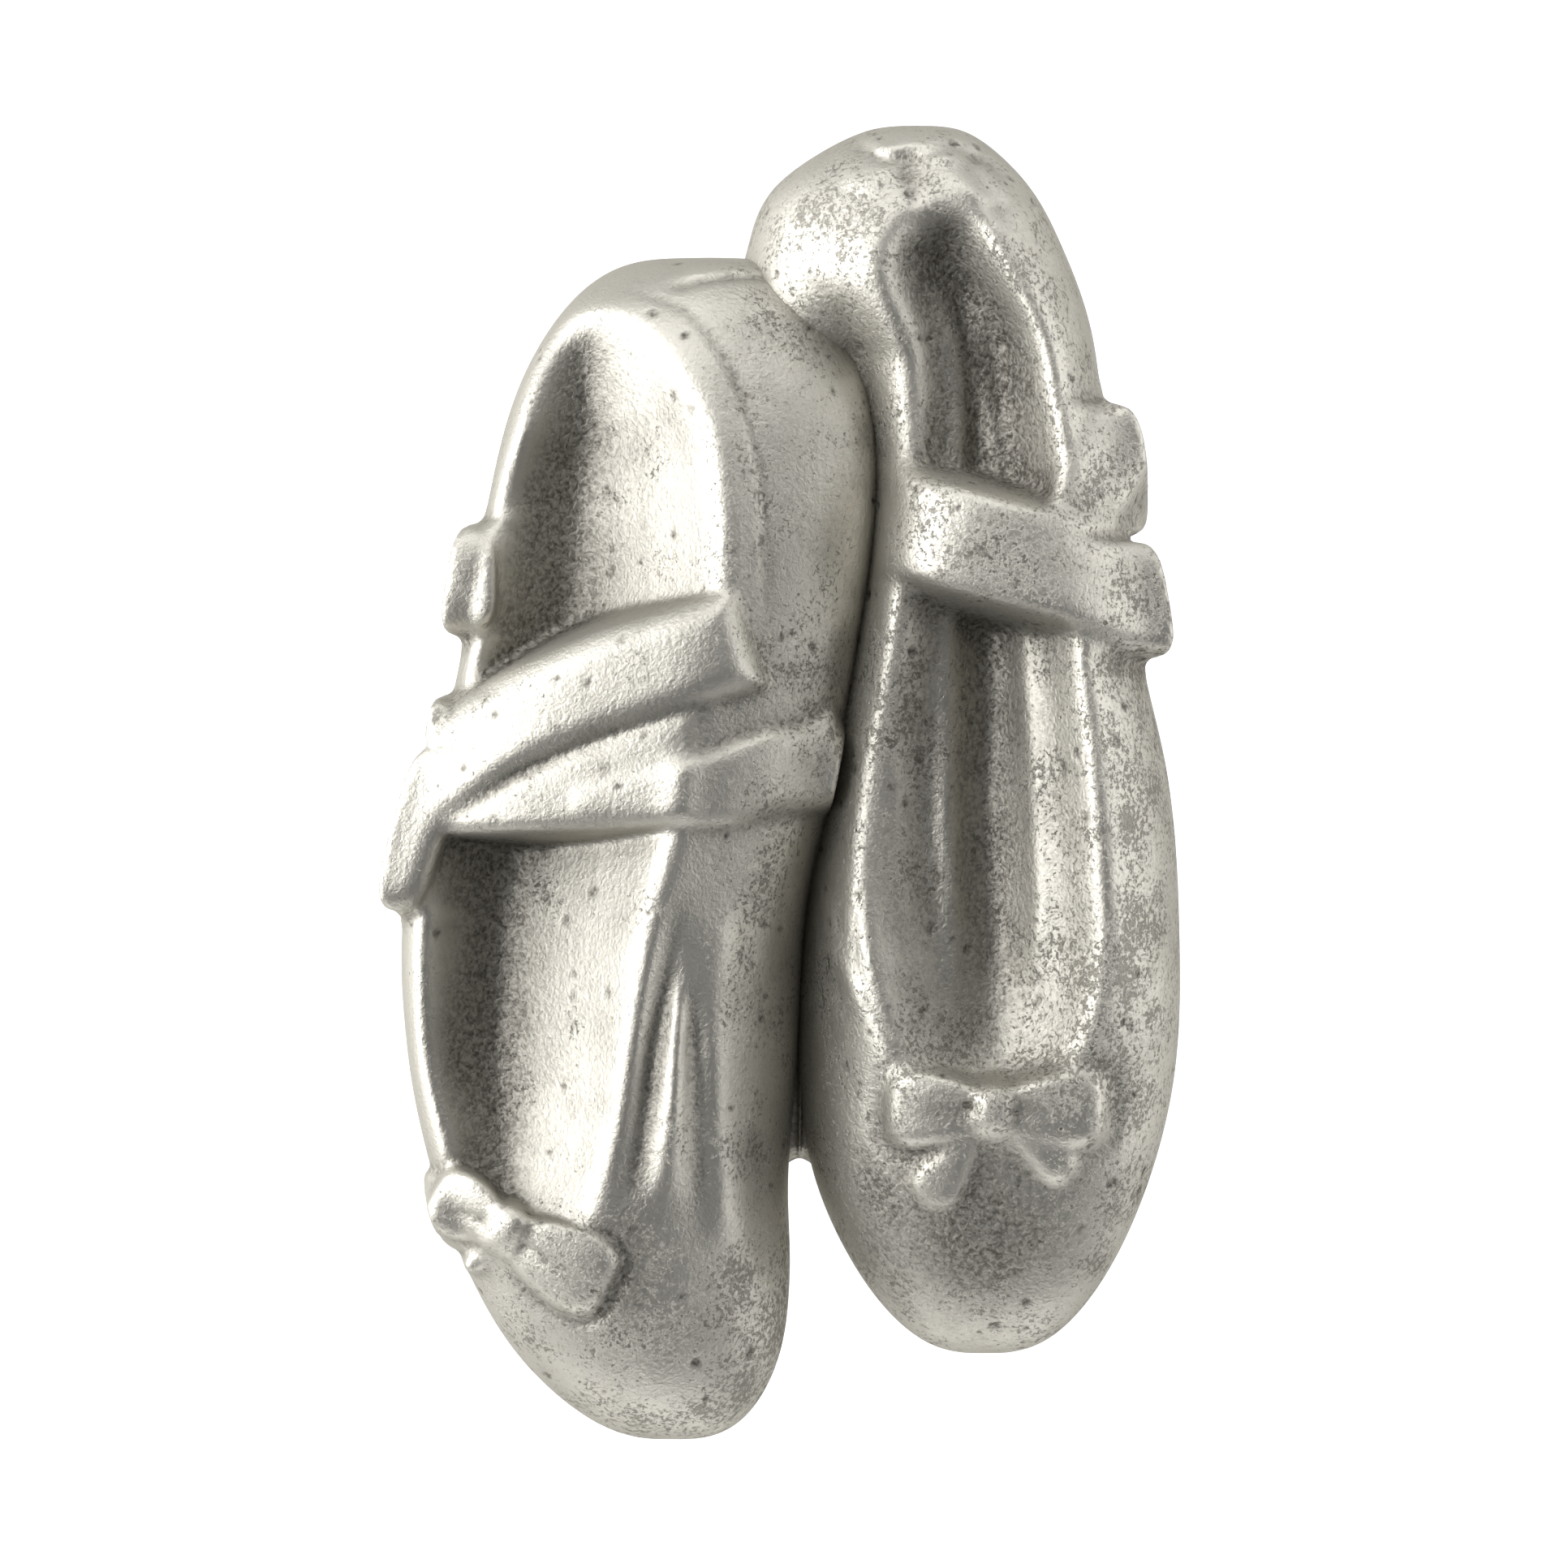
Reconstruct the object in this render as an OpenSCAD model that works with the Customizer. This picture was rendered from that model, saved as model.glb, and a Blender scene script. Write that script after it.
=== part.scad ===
// Cabinet knob cast as a pair of ballet slippers, with its threaded insert, washer and screw.
// Frame: +Z up, +X to the right seen from the front, -Y towards the room.
// The origin is the centre of the post's rear face, which lies against the drawer front.

/* [Slippers] */
// Length of the left slipper, heel to toe
left_len = 57.6; // [46:0.2:70]
// Length of the right slipper, heel to toe
right_len = 59.8; // [48:0.2:72]
// Width of each slipper across the ball of the foot
slipper_w = 19; // [15:0.2:23]
// Height of each slipper above its flat back
slipper_h = 14; // [11:0.2:17]
// Height of the left heel above the screw's axis
left_heel_z = 25.6; // [20:0.2:32]
// Height of the right heel above the screw's axis
right_heel_z = 32; // [26:0.2:38]
// Thickness of the casting at its outer edge
edge_t = 1.2; // [0.8:0.1:2]
// Height of the hollow's floor above the flat back
floor_h = 5; // [3:0.1:6.5]

/* [Binding and ribbons] */
// Radius of the rolled binding round each foot opening
binding_r = 0.85; // [0.6:0.05:1.1]
// Width of the ribbons
ribbon_w = 4.8; // [3:0.1:5.5]
// Thickness of the ribbons
ribbon_t = 1.3; // [0.9:0.1:1.8]

/* [Bows] */
// Span of each bow, loop end to loop end
bow_span = 10.4; // [8:0.2:12]
// Height of a bow's loops
bow_loop_h = 3.8; // [2.6:0.1:4.2]
// Length of a bow's tails
bow_tail = 3.2; // [2.4:0.1:4]

/* [Web] */
// Height of the web between the slippers
web_h = 3.2; // [2:0.1:4.5]
// Lowest point of the web below the screw's axis
web_drop = 19; // [14:0.5:22]

/* [Post] */
// Length of the post behind the slippers
post_len = 8; // [6:0.5:12]
// Radius of the post
post_r = 6; // [5:0.25:7]
// Radius of the flare where the post meets the slippers
flare_r = 2; // [1:0.25:3]

/* [Screw, insert and washer] */
// Major radius of the screw's thread
screw_r = 2.05; // [1.5:0.05:2.5]
// Distance between threads
thread_pitch = 0.79375; // [0.5:0.00125:1]
// Room between the screw's tip and the slippers' back
tip_room = 2.6; // [1:0.1:3.5]
// Thickness of the drawer front that the knob is set up for
panel_t = 19; // [12:0.5:30]
// Radius of the screw's head
head_r = 4.1; // [3.6:0.1:5]
// Height of the screw's head
head_h = 2.4; // [2:0.1:3]
// Outer radius of the washer
washer_r = 5.2; // [4.6:0.1:6]
// Thickness of the washer
washer_t = 1; // [0.6:0.1:1.4]
// Wall of the threaded insert
insert_wall = 1.1; // [0.8:0.1:1.6]
// Radial gap between the screw and the insert's bore
thread_gap = 0.06; // [0.04:0.01:0.1]

/* [Hidden] */

rows = 34;
columns = 26;
binding_steps = 40;
ribbon_steps = 12;
bead_fn = 8;
round_fn = 64;
eps = 0.01;
insert_r = screw_r + thread_gap + insert_wall;
insert_len = post_len - 1;
insert_sink = 0.3;
screw_len = panel_t + washer_t + post_len - tip_room;
post_chamfer = 0.4;
tip_chamfer = 0.5;
washer_gap = 0.25;
recess_w = 1.1;
recess_depth = 1.5;
recess_share = 0.6;

// Columns of a station table. Lengths are shares of the slipper's width, heights of its height.
T = 0; CENTRE = 1; HALF = 2; LOW = 3; HIGH = 4; POWER_L = 5; POWER_R = 6; EDGE_L = 7; EDGE_R = 8;
// share of length, centre, half width, left height, right height, left power, right power, left edge, right edge
LEFT = [
    [0.00, -0.205, 0.36, 0.70, 0.98, 4.0, 2.4, 0.0, 0.42],
    [0.10, -0.230, 0.45, 0.74, 1.04, 4.5, 2.4, 0.0, 0.46],
    [0.27, -0.270, 0.52, 0.76, 1.06, 5.0, 2.6, 0.0, 0.46],
    [0.45, -0.360, 0.52, 0.76, 1.04, 5.0, 2.4, 0.0, 0.36],
    [0.62, -0.463, 0.50, 0.72, 1.00, 4.5, 2.1, 0.0, 0.12],
    [0.79, -0.437, 0.47, 0.74, 0.90, 3.5, 2.2, 0.0, 0.04],
    [0.93, -0.365, 0.42, 0.76, 0.80, 2.6, 2.6, 0.0, 0.00],
    [1.00, -0.300, 0.38, 0.72, 0.74, 2.6, 2.6, 0.0, 0.00]
];
RIGHT = [
    [0.00, 0.342, 0.39, 0.78, 0.80, 2.4, 3.0, 0.0, 0.0],
    [0.07, 0.325, 0.44, 0.82, 0.82, 2.4, 3.2, 0.0, 0.0],
    [0.14, 0.330, 0.47, 0.84, 0.84, 2.4, 3.4, 0.0, 0.0],
    [0.27, 0.378, 0.46, 0.86, 0.86, 2.6, 3.4, 0.0, 0.0],
    [0.40, 0.437, 0.44, 0.86, 0.86, 2.8, 3.2, 0.0, 0.0],
    [0.54, 0.500, 0.46, 0.86, 0.86, 3.0, 3.0, 0.1, 0.0],
    [0.67, 0.542, 0.48, 0.85, 0.85, 3.0, 3.0, 0.1, 0.0],
    [0.80, 0.534, 0.47, 0.80, 0.80, 2.6, 2.8, 0.0, 0.0],
    [0.90, 0.529, 0.42, 0.76, 0.76, 2.4, 2.6, 0.0, 0.0],
    [1.00, 0.518, 0.36, 0.72, 0.72, 2.4, 2.6, 0.0, 0.0]
];
// Foot openings: share of length, centre and half width of the opening as shares of the slipper's width
LEFT_OPEN = [
    [0.06, -0.40, 0.28], [0.15, -0.42, 0.30], [0.27, -0.46, 0.315], [0.40, -0.52, 0.32], [0.52, -0.59, 0.31],
    [0.65, -0.63, 0.28], [0.81, -0.66, 0.24]
];
RIGHT_OPEN = [
    [0.07, 0.42, 0.20], [0.15, 0.43, 0.22], [0.27, 0.46, 0.24], [0.42, 0.47, 0.29], [0.55, 0.47, 0.32],
    [0.68, 0.52, 0.31], [0.79, 0.55, 0.26]
];
// Bluntness of the ends: of the outline, of the heel's height, of the toe's height and of an opening
OUTLINE_POWER = 4;
HEEL_POWER = 4.5;
TOE_POWER = 2.7;
OPENING_POWER = 3.1;
// Share of the binding's radius that is sunk below the rim
BINDING_SINK = 0.45;
// How far across a slipper a ribbon keeps to the surface before it drops down the side
RIBBON_TURN = 0.93;
HOLLOW_POWER = 3;

// The two slippers, each with its own stations, opening, heel height and length
L = [LEFT, LEFT_OPEN, left_heel_z, left_len];
R = [RIGHT, RIGHT_OPEN, right_heel_z, right_len];

// Which gap of a table holds share t
function gap_of(table, t, i = 0) = i >= len(table) - 2 || t < table[i + 1][T] ? i : gap_of(table, t, i + 1);

// Column k of a table at share t, on a smooth curve through its rows
function at(table, t, k) =
    let (
        i = gap_of(table, t),
        a = table[max(0, i - 1)],
        b = table[i],
        c = table[i + 1],
        d = table[min(len(table) - 1, i + 2)],
        span = c[T] - b[T],
        s = min(1, max(0, (t - b[T]) / span)),
        slope_b = (c[k] - a[k]) / (c[T] - a[T]) * span,
        slope_c = (d[k] - b[k]) / (d[T] - b[T]) * span
    )
    b[k] * (2 * s^3 - 3 * s^2 + 1) + slope_b * (s^3 - 2 * s^2 + s)
    + c[k] * (3 * s^2 - 2 * s^3) + slope_c * (s^3 - s^2);

// A superellipse: 1 at the middle, 0 at 1 or -1
function round_off(x, power) = (1 - min(1, abs(x))^power)^(1 / power);

// Outline of a slipper at share t of its length
function end_of(t) = round_off(2 * t - 1, OUTLINE_POWER);
function height_end(t) = round_off(2 * t - 1, t < 0.5 ? HEEL_POWER : TOE_POWER);
function centre(s, t) = slipper_w * at(s[0], t, CENTRE);
function half(s, t) = slipper_w * at(s[0], t, HALF) * end_of(t);
function left_x(s, t) = centre(s, t) - half(s, t);
function right_x(s, t) = centre(s, t) + half(s, t);
function z_of(s, t) = s[2] - s[3] * t;
function t_of(s, z) = min(1, max(0, (s[2] - z) / s[3]));

// Height of a slipper above the flat back, with the foot opening bridged over
function dome(s, t, u) =
    let (
        full = slipper_h * (at(s[0], t, LOW) * (1 - u) + at(s[0], t, HIGH) * (1 + u)) / 2 * height_end(t),
        edge = edge_t + slipper_h * at(s[0], t, u < 0 ? EDGE_L : EDGE_R) * end_of(t) * u^2
    )
    edge + max(0, full - edge) * round_off(u, at(s[0], t, u < 0 ? POWER_L : POWER_R));

// Where x lies across a slipper: -1 on its left edge, 1 on its right
function across(s, t, x) = min(1, max(-1, (x - centre(s, t)) / max(eps, half(s, t))));

// How far a point lies from the middle of the foot opening: 1 on the rim
function from_middle(s, t, x) =
    let (
        o = s[1],
        first = o[0][T],
        last = o[len(o) - 1][T],
        a = (2 * t - first - last) / (last - first),
        b = (x - slipper_w * at(o, t, 1)) / (slipper_w * at(o, t, 2))
    )
    (abs(a)^OPENING_POWER + abs(b)^OPENING_POWER)^(1 / OPENING_POWER);

// Height of the casting, with the hollow for the foot
function relief(s, t, x) =
    let (
        d = dome(s, t, across(s, t, x)),
        m = min(1, from_middle(s, t, x)),
        g = sqrt(1 - m^HOLLOW_POWER)
    )
    d * (1 - g) + min(d, floor_h) * g;

// A point on the bridged surface of a slipper, raised by lift
function on_dome(s, t, x, lift = 0) = [x, -(post_len + dome(s, t, across(s, t, x)) + lift), z_of(s, t)];

// The same for a ribbon, which runs out past the slipper's side at the height that it has near the edge
function on_ribbon_path(s, x, z) =
    let (t = t_of(s, z), u = min(RIBBON_TURN, max(-RIBBON_TURN, across(s, t, x))))
    [x, -(post_len + dome(s, t, u) + ribbon_t / 4), z];

// Point number i of n round the rim of a foot opening
function rim_point(s, i, n) =
    let (
        o = s[1],
        first = o[0][T],
        last = o[len(o) - 1][T],
        turn = 360 * i / n,
        p = 2 / OPENING_POWER,
        t = (first + last) / 2 + (last - first) / 2 * sign(cos(turn)) * abs(cos(turn))^p,
        x = slipper_w * (at(o, t, 1) + at(o, t, 2) * sign(sin(turn)) * abs(sin(turn))^p)
    )
    on_dome(s, t, x, -binding_r * BINDING_SINK);

// The left edge of the right slipper is cut back to the left slipper where that one lies over it
function right_slipper_left(t) =
    let (z = z_of(R, t), tl = (left_heel_z - z) / left_len)
    tl > 0 && tl < 1 ? max(left_x(R, t), right_x(L, tl)) : left_x(R, t);

// Solid under a grid of heights, with a flat back: points is a list of rows, each from left to right
module relief_solid(points) {
    n = len(points);
    m = len(points[0]);
    front = [for (row = points) each row];
    back = [for (row = points) each [[row[0].x, -post_len, row[0].z], [row[m - 1].x, -post_len, row[m - 1].z]]];
    base = n * m;
    polyhedron(
        points = concat(front, back),
        faces = concat(
            [for (i = [0 : n - 2], j = [0 : m - 2]) each [
                [i * m + j, i * m + j + 1, (i + 1) * m + j + 1],
                [i * m + j, (i + 1) * m + j + 1, (i + 1) * m + j]
            ]],
            [for (i = [0 : n - 2]) each [
                [base + 2 * i, base + 2 * i + 2, base + 2 * i + 3],
                [base + 2 * i, base + 2 * i + 3, base + 2 * i + 1],
                [i * m, (i + 1) * m, base + 2 * i + 2],
                [i * m, base + 2 * i + 2, base + 2 * i],
                [i * m + m - 1, base + 2 * i + 1, base + 2 * i + 3],
                [i * m + m - 1, base + 2 * i + 3, (i + 1) * m + m - 1]
            ]],
            [[for (j = [0 : m - 1]) m - 1 - j, base, base + 1]],
            [[for (j = [0 : m - 1]) (n - 1) * m + j, base + 2 * n - 1, base + 2 * n - 2]]
        )
    );
}

// Shares of the length for the rows, closer together at the heel and the toe
function row_share(i) = (1 - cos(2 + 176 * i / (rows - 1))) / 2;

module left_body() {
    relief_solid([for (i = [0 : rows - 1])
        let (t = row_share(i), a = left_x(L, t), b = right_x(L, t))
        [for (j = [0 : columns])
            let (x = a + (b - a) * (1 - cos(180 * j / columns)) / 2)
            [x, -(post_len + relief(L, t, x)), z_of(L, t)]]]);
}

module right_body() {
    relief_solid([for (i = [0 : rows - 1])
        let (t = row_share(i), a = right_slipper_left(t), b = right_x(R, t))
        [for (j = [0 : columns])
            let (x = a + (b - a) * (1 - cos(180 * j / columns)) / 2)
            [x, -(post_len + relief(R, t, x)), z_of(R, t)]]]);
}

// Rolled binding round a foot opening
module binding_ring(s) {
    for (i = [0 : binding_steps - 1]) hull() {
        translate(rim_point(s, i, binding_steps)) sphere(binding_r, $fn = bead_fn);
        translate(rim_point(s, i + 1, binding_steps)) sphere(binding_r, $fn = bead_fn);
    }
}

// One cross-section of a ribbon: a flat rounded bar across the run, and its root down in the casting
module ribbon_section(p, across_run) {
    side = (ribbon_w - ribbon_t) / 2 * across_run;
    for (k = [-1, 1], depth = [0, slipper_h])
        translate(p + k * side + [0, depth, 0]) sphere(ribbon_t / 2, $fn = bead_fn);
}

// A ribbon over a slipper, solid down to the hollow's floor.
// Each point of its path is a share of the slipper's width from the screw's axis, and a share of its length.
module ribbon(s, path) {
    last = len(path) - 1;
    table = [for (i = [0 : last]) [i / last, slipper_w * path[i].x, z_of(s, path[i].y)]];
    place = function (q) on_ribbon_path(s, at(table, q, 1), at(table, q, 2));
    run = function (q) place(min(1, q + eps)) - place(max(0, q - eps));
    bar = function (q) let (r = run(q), c = cross([r.x, 0, r.z], [0, 1, 0])) c / norm(c);
    for (i = [0 : ribbon_steps - 1]) hull() {
        ribbon_section(place(i / ribbon_steps), bar(i / ribbon_steps));
        ribbon_section(place((i + 1) / ribbon_steps), bar((i + 1) / ribbon_steps));
    }
}

module left_cross_run() {
    ribbon(L, [
        [-0.074, 0.323], [-0.242, 0.337], [-0.442, 0.368], [-0.642, 0.406], [-0.821, 0.444], [-0.942, 0.486]
    ]);
}

module left_lower_run() {
    ribbon(L, [
        [-0.768, 0.472], [-0.553, 0.460], [-0.347, 0.450], [-0.179, 0.446], [-0.021, 0.439], [0.116, 0.424]
    ]);
}

module left_tab_run() {
    ribbon(L, [[-0.732, 0.274], [-0.758, 0.274], [-0.784, 0.274], [-0.811, 0.274]]);
}

module right_cross_run() {
    ribbon(R, [
        [0.258, 0.314], [0.421, 0.328], [0.589, 0.344], [0.716, 0.360], [0.832, 0.375], [0.926, 0.388]
    ]);
}

module right_tab_run() {
    ribbon(R, [[0.716, 0.321], [0.774, 0.294], [0.832, 0.271], [0.874, 0.256]]);
}

// Everything behind the slippers' flat back, which no ribbon or bow crosses
module behind_back() {
    side = 4 * slipper_w;
    translate([-side / 2, -post_len, -side]) cube([side, side, 2 * side]);
}

// Everything that lies in or on each slipper before a ribbon or bow is added
module left_base() {
    left_body();
    binding_ring(L);
    behind_back();
}

module right_base() {
    right_body();
    binding_ring(R);
    left_body();
    behind_back();
}

// A point of a bow: u along its span and v across it, on the slipper's surface, raised by lift
function bow_point(s, knot, tilt, u, v, lift) =
    let (
        x = knot.x + u * cos(tilt) - v * sin(tilt),
        z = knot.y + u * sin(tilt) + v * cos(tilt)
    )
    on_dome(s, t_of(s, z), x, lift);

// A bow: two loops, a knot and two tails. The knot's place is given as a ribbon's points are.
// near_share shortens the loop that turns round the slipper's side.
module bow_shape(s, place, tilt, near_share) {
    knot = [slipper_w * place.x, z_of(s, place.y)];
    bead = bow_loop_h / 3.4;
    knot_r = bow_span * 0.085;
    for (side = [-1, 1]) {
        reach = (bow_span / 2 - bead * 0.6) * (side < 0 ? near_share : 1);
        hull() {
            translate(bow_point(s, knot, tilt, side * knot_r, 0, 0)) sphere(bead * 0.6, $fn = bead_fn);
            for (v = [-1, 1])
                translate(bow_point(s, knot, tilt, side * (reach - bead * 0.4), v * (bow_loop_h / 2 - bead), 0))
                    sphere(bead, $fn = bead_fn);
        }
        hull() {
            translate(bow_point(s, knot, tilt, side * knot_r, -knot_r, 0)) sphere(bead * 0.5, $fn = bead_fn);
            translate(bow_point(s, knot, tilt, side * (knot_r + bow_tail * 0.8) * (side < 0 ? near_share : 1),
                -knot_r - bow_tail * 0.8, 0)) sphere(bead * 0.55, $fn = bead_fn);
        }
    }
    hull() for (v = [-1, 1])
        translate(bow_point(s, knot, tilt, 0, v * knot_r, knot_r * 0.5)) sphere(knot_r, $fn = bead_fn);
}

module left_bow_shape() { bow_shape(L, [-0.726, 0.818], -28, 0.6); }

module right_bow_shape() { bow_shape(R, [0.532, 0.796], 0, 1); }

module left_slipper() {
    difference() {
        left_body();
        binding_ring(L);
    }
}

module right_slipper() {
    difference() {
        right_body();
        left_body();
        binding_ring(R);
    }
}

module left_binding() { binding_ring(L); }

module right_binding() {
    difference() {
        binding_ring(R);
        left_body();
    }
}

module left_cross_ribbon() {
    difference() {
        left_cross_run();
        left_base();
    }
}

module left_lower_ribbon() {
    difference() {
        left_lower_run();
        left_base();
        left_cross_run();
        right_base();
    }
}

module left_ribbon_tab() {
    difference() {
        left_tab_run();
        left_base();
    }
}

module right_cross_ribbon() {
    difference() {
        right_cross_run();
        right_base();
    }
}

module right_ribbon_tab() {
    difference() {
        right_tab_run();
        right_base();
        right_cross_run();
    }
}

module left_bow() {
    difference() {
        left_bow_shape();
        left_base();
    }
}

module right_bow() {
    difference() {
        right_bow_shape();
        right_base();
    }
}

// Fills the groove between the slippers down to where the toes part
module joining_web() {
    web_w = slipper_w * 0.26;
    web_top = -7.5;
    difference() {
        translate([1 - web_w / 2, -post_len - web_h, -web_drop]) cube([web_w, web_h, web_drop + web_top]);
        left_base();
        right_base();
    }
}

// Round solids along the screw's axis: profile holds [radius, distance behind the slippers' back]
module turned(profile) {
    rotate([-90, 0, 0]) rotate_extrude($fn = round_fn) polygon(profile);
}

module mounting_post() {
    turned([
        [insert_r, -post_len], [post_r + flare_r, -post_len], [post_r, -post_len + flare_r],
        [post_r, -post_chamfer], [post_r - post_chamfer, 0], [insert_r, 0]
    ]);
}

module threaded_insert() {
    turned([
        [screw_r + thread_gap, -insert_len], [insert_r, -insert_len], [insert_r, -insert_sink],
        [screw_r + thread_gap, -insert_sink]
    ]);
}

module mounting_screw() {
    seat = panel_t + washer_t;
    difference() {
        turned([
            [0, seat - screw_len], [screw_r - tip_chamfer, seat - screw_len],
            [screw_r, seat - screw_len + tip_chamfer], [screw_r, seat], [head_r, seat],
            [head_r, seat + head_h * 0.45], [head_r * 0.8, seat + head_h * 0.9], [head_r * 0.45, seat + head_h],
            [0, seat + head_h]
        ]);
        for (turn = [0, 90]) rotate([0, turn, 0])
            translate([-recess_w / 2, seat + head_h - recess_depth, -head_r * recess_share])
                cube([recess_w, recess_depth * 2, head_r * recess_share * 2]);
    }
}

module washer() {
    turned([
        [screw_r + washer_gap, panel_t], [washer_r, panel_t], [washer_r, panel_t + washer_t],
        [screw_r + washer_gap, panel_t + washer_t]
    ]);
}

color("silver") left_slipper();
color("silver") right_slipper();
color("gainsboro") left_binding();
color("gainsboro") right_binding();
color("lightgray") left_cross_ribbon();
color("lightgray") left_lower_ribbon();
color("lightgray") left_ribbon_tab();
color("lightgray") right_cross_ribbon();
color("lightgray") right_ribbon_tab();
color("gainsboro") left_bow();
color("gainsboro") right_bow();
color("darkgray") joining_web();
color("silver") mounting_post();
color("goldenrod") threaded_insert();
color("slategray") mounting_screw();
color("lightslategray") washer();
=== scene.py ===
import math

import bmesh
import bpy
import numpy as np
from mathutils import Matrix, Vector, kdtree


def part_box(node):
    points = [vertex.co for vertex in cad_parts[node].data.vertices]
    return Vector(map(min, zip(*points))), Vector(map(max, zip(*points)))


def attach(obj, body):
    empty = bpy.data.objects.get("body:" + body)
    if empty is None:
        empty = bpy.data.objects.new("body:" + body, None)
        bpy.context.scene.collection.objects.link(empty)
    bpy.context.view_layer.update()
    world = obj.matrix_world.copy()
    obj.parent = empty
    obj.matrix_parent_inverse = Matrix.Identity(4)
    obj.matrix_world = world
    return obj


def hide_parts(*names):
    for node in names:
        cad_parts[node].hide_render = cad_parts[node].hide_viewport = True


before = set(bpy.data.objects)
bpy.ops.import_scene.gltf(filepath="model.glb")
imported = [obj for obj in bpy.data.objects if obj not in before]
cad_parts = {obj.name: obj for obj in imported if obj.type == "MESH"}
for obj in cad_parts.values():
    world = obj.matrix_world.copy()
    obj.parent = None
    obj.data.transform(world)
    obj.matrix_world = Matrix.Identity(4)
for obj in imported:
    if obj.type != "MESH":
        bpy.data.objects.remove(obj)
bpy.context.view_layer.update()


# ---------------------------------------------------------------- left slipper
# The front slipper of a one-piece pewter casting, poured in a two-part mould, so all of its shape is
# relief on a flat back: the foot's hollow, the rolled edge, two flat ribbons and a bow on the toe.
# The metal is buffed where a wheel could reach it and left grainy and dark where it could not, and its hollow
# carries painted light and painted shade.
MM = 0.001      # metres in a mm: the frame is in metres, and the sizes below are in mm
POST = 8.0      # mm from the drawer front to the casting's flat back
WIDE = 19.0     # mm across the ball of the foot
HIGH = 14.0     # mm from the flat back to the top of the relief
EDGE = 1.2      # mm, thickness at the outline
FRONT = 1.0     # mm above the flat back, past which a point belongs to the relief
FACET = 0.215   # mm, side of the small even facets that the casting is cut to
RIM_WIDE = 1.4  # mm, reach of the rolled edge on either side of the opening's rim

LEFT_HEEL, LEFT_LONG = 25.6, 57.6    # mm: height of the heel above the screw, and heel to toe
# share of length, centre, half width, height at the left and at the right, squareness of the left side,
# height of the left and of the right edge
LEFT_SHAPE = (
    (0.00, -0.205, 0.470, 0.70, 0.98, 4.0, 0.0, 0.42),
    (0.10, -0.228, 0.515, 0.74, 1.04, 4.5, 0.0, 0.46),
    (0.22, -0.263, 0.519, 0.76, 1.06, 5.0, 0.0, 0.45),
    (0.32, -0.310, 0.509, 0.76, 1.05, 5.0, 0.0, 0.42),
    (0.45, -0.385, 0.515, 0.76, 1.02, 5.0, 0.0, 0.32),
    (0.54, -0.450, 0.517, 0.74, 0.99, 4.8, 0.0, 0.22),
    (0.67, -0.463, 0.510, 0.72, 0.95, 4.2, 0.0, 0.12),
    (0.79, -0.437, 0.493, 0.74, 0.90, 3.5, 0.0, 0.05),
    (0.86, -0.395, 0.499, 0.76, 0.86, 3.0, 0.0, 0.02),
    (0.93, -0.345, 0.497, 0.78, 0.82, 2.6, 0.0, 0.00),
    (1.00, -0.286, 0.460, 0.76, 0.78, 2.6, 0.0, 0.00),
)
# share of length, centre and half width of the foot's opening
LEFT_OPENING = (
    (0.050, -0.465, 0.235), (0.106, -0.449, 0.257), (0.146, -0.434, 0.279), (0.194, -0.446, 0.300),
    (0.285, -0.460, 0.303), (0.400, -0.530, 0.305), (0.500, -0.600, 0.310), (0.540, -0.624, 0.298),
    (0.620, -0.647, 0.287), (0.675, -0.653, 0.288), (0.750, -0.645, 0.272), (0.835, -0.660, 0.272),
)


def along(rows, t, k):
    """Column k of a table of sizes at share t, on a smooth line through its rows."""
    rows = np.array(rows)
    at, v = rows[:, 0], rows[:, k]
    slope = np.gradient(v, at)
    i = np.clip(np.searchsorted(at, t) - 1, 0, len(at) - 2)
    span = at[i + 1] - at[i]
    s = np.clip((t - at[i]) / span, 0, 1)
    return (v[i] * (2 * s**3 - 3 * s**2 + 1) + slope[i] * span * (s**3 - 2 * s**2 + s)
            + v[i + 1] * (3 * s**2 - 2 * s**3) + slope[i + 1] * span * (s**3 - s**2))


def blunt(x, power):
    """1 in the middle, 0 at -1 and 1, and squarer for a higher power."""
    return (1 - np.clip(np.abs(x), 0, 1) ** power) ** (1 / power)


def soften(heights, width):
    """A height field blurred by about width cells each way."""
    n = int(3 * width) + 1
    bell = np.exp(-0.5 * (np.arange(-n, n + 1) / width) ** 2)
    bell /= bell.sum()
    for axis in (0, 1):
        margin = [(n, n) if k == axis else (0, 0) for k in (0, 1)]
        wider = np.pad(heights, margin, "edge")
        heights = np.apply_along_axis(lambda row: np.convolve(row, bell, "valid"), axis, wider)
    return heights


def melt(a, b, r):
    """The higher of two heights, with the corner between them filled as metal fills it, over about r mm."""
    h = np.clip(0.5 + 0.5 * (a - b) / r, 0, 1)
    return b + (a - b) * h + r * h * (1 - h)


def surface(mesh):
    """The places and the normals of a mesh's points."""
    co = np.empty(len(mesh.vertices) * 3)
    mesh.vertices.foreach_get("co", co)
    normal = np.empty(len(mesh.vertices) * 3)
    mesh.vertex_normals.foreach_get("vector", normal)
    return co.reshape(-1, 3), normal.reshape(-1, 3)


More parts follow.
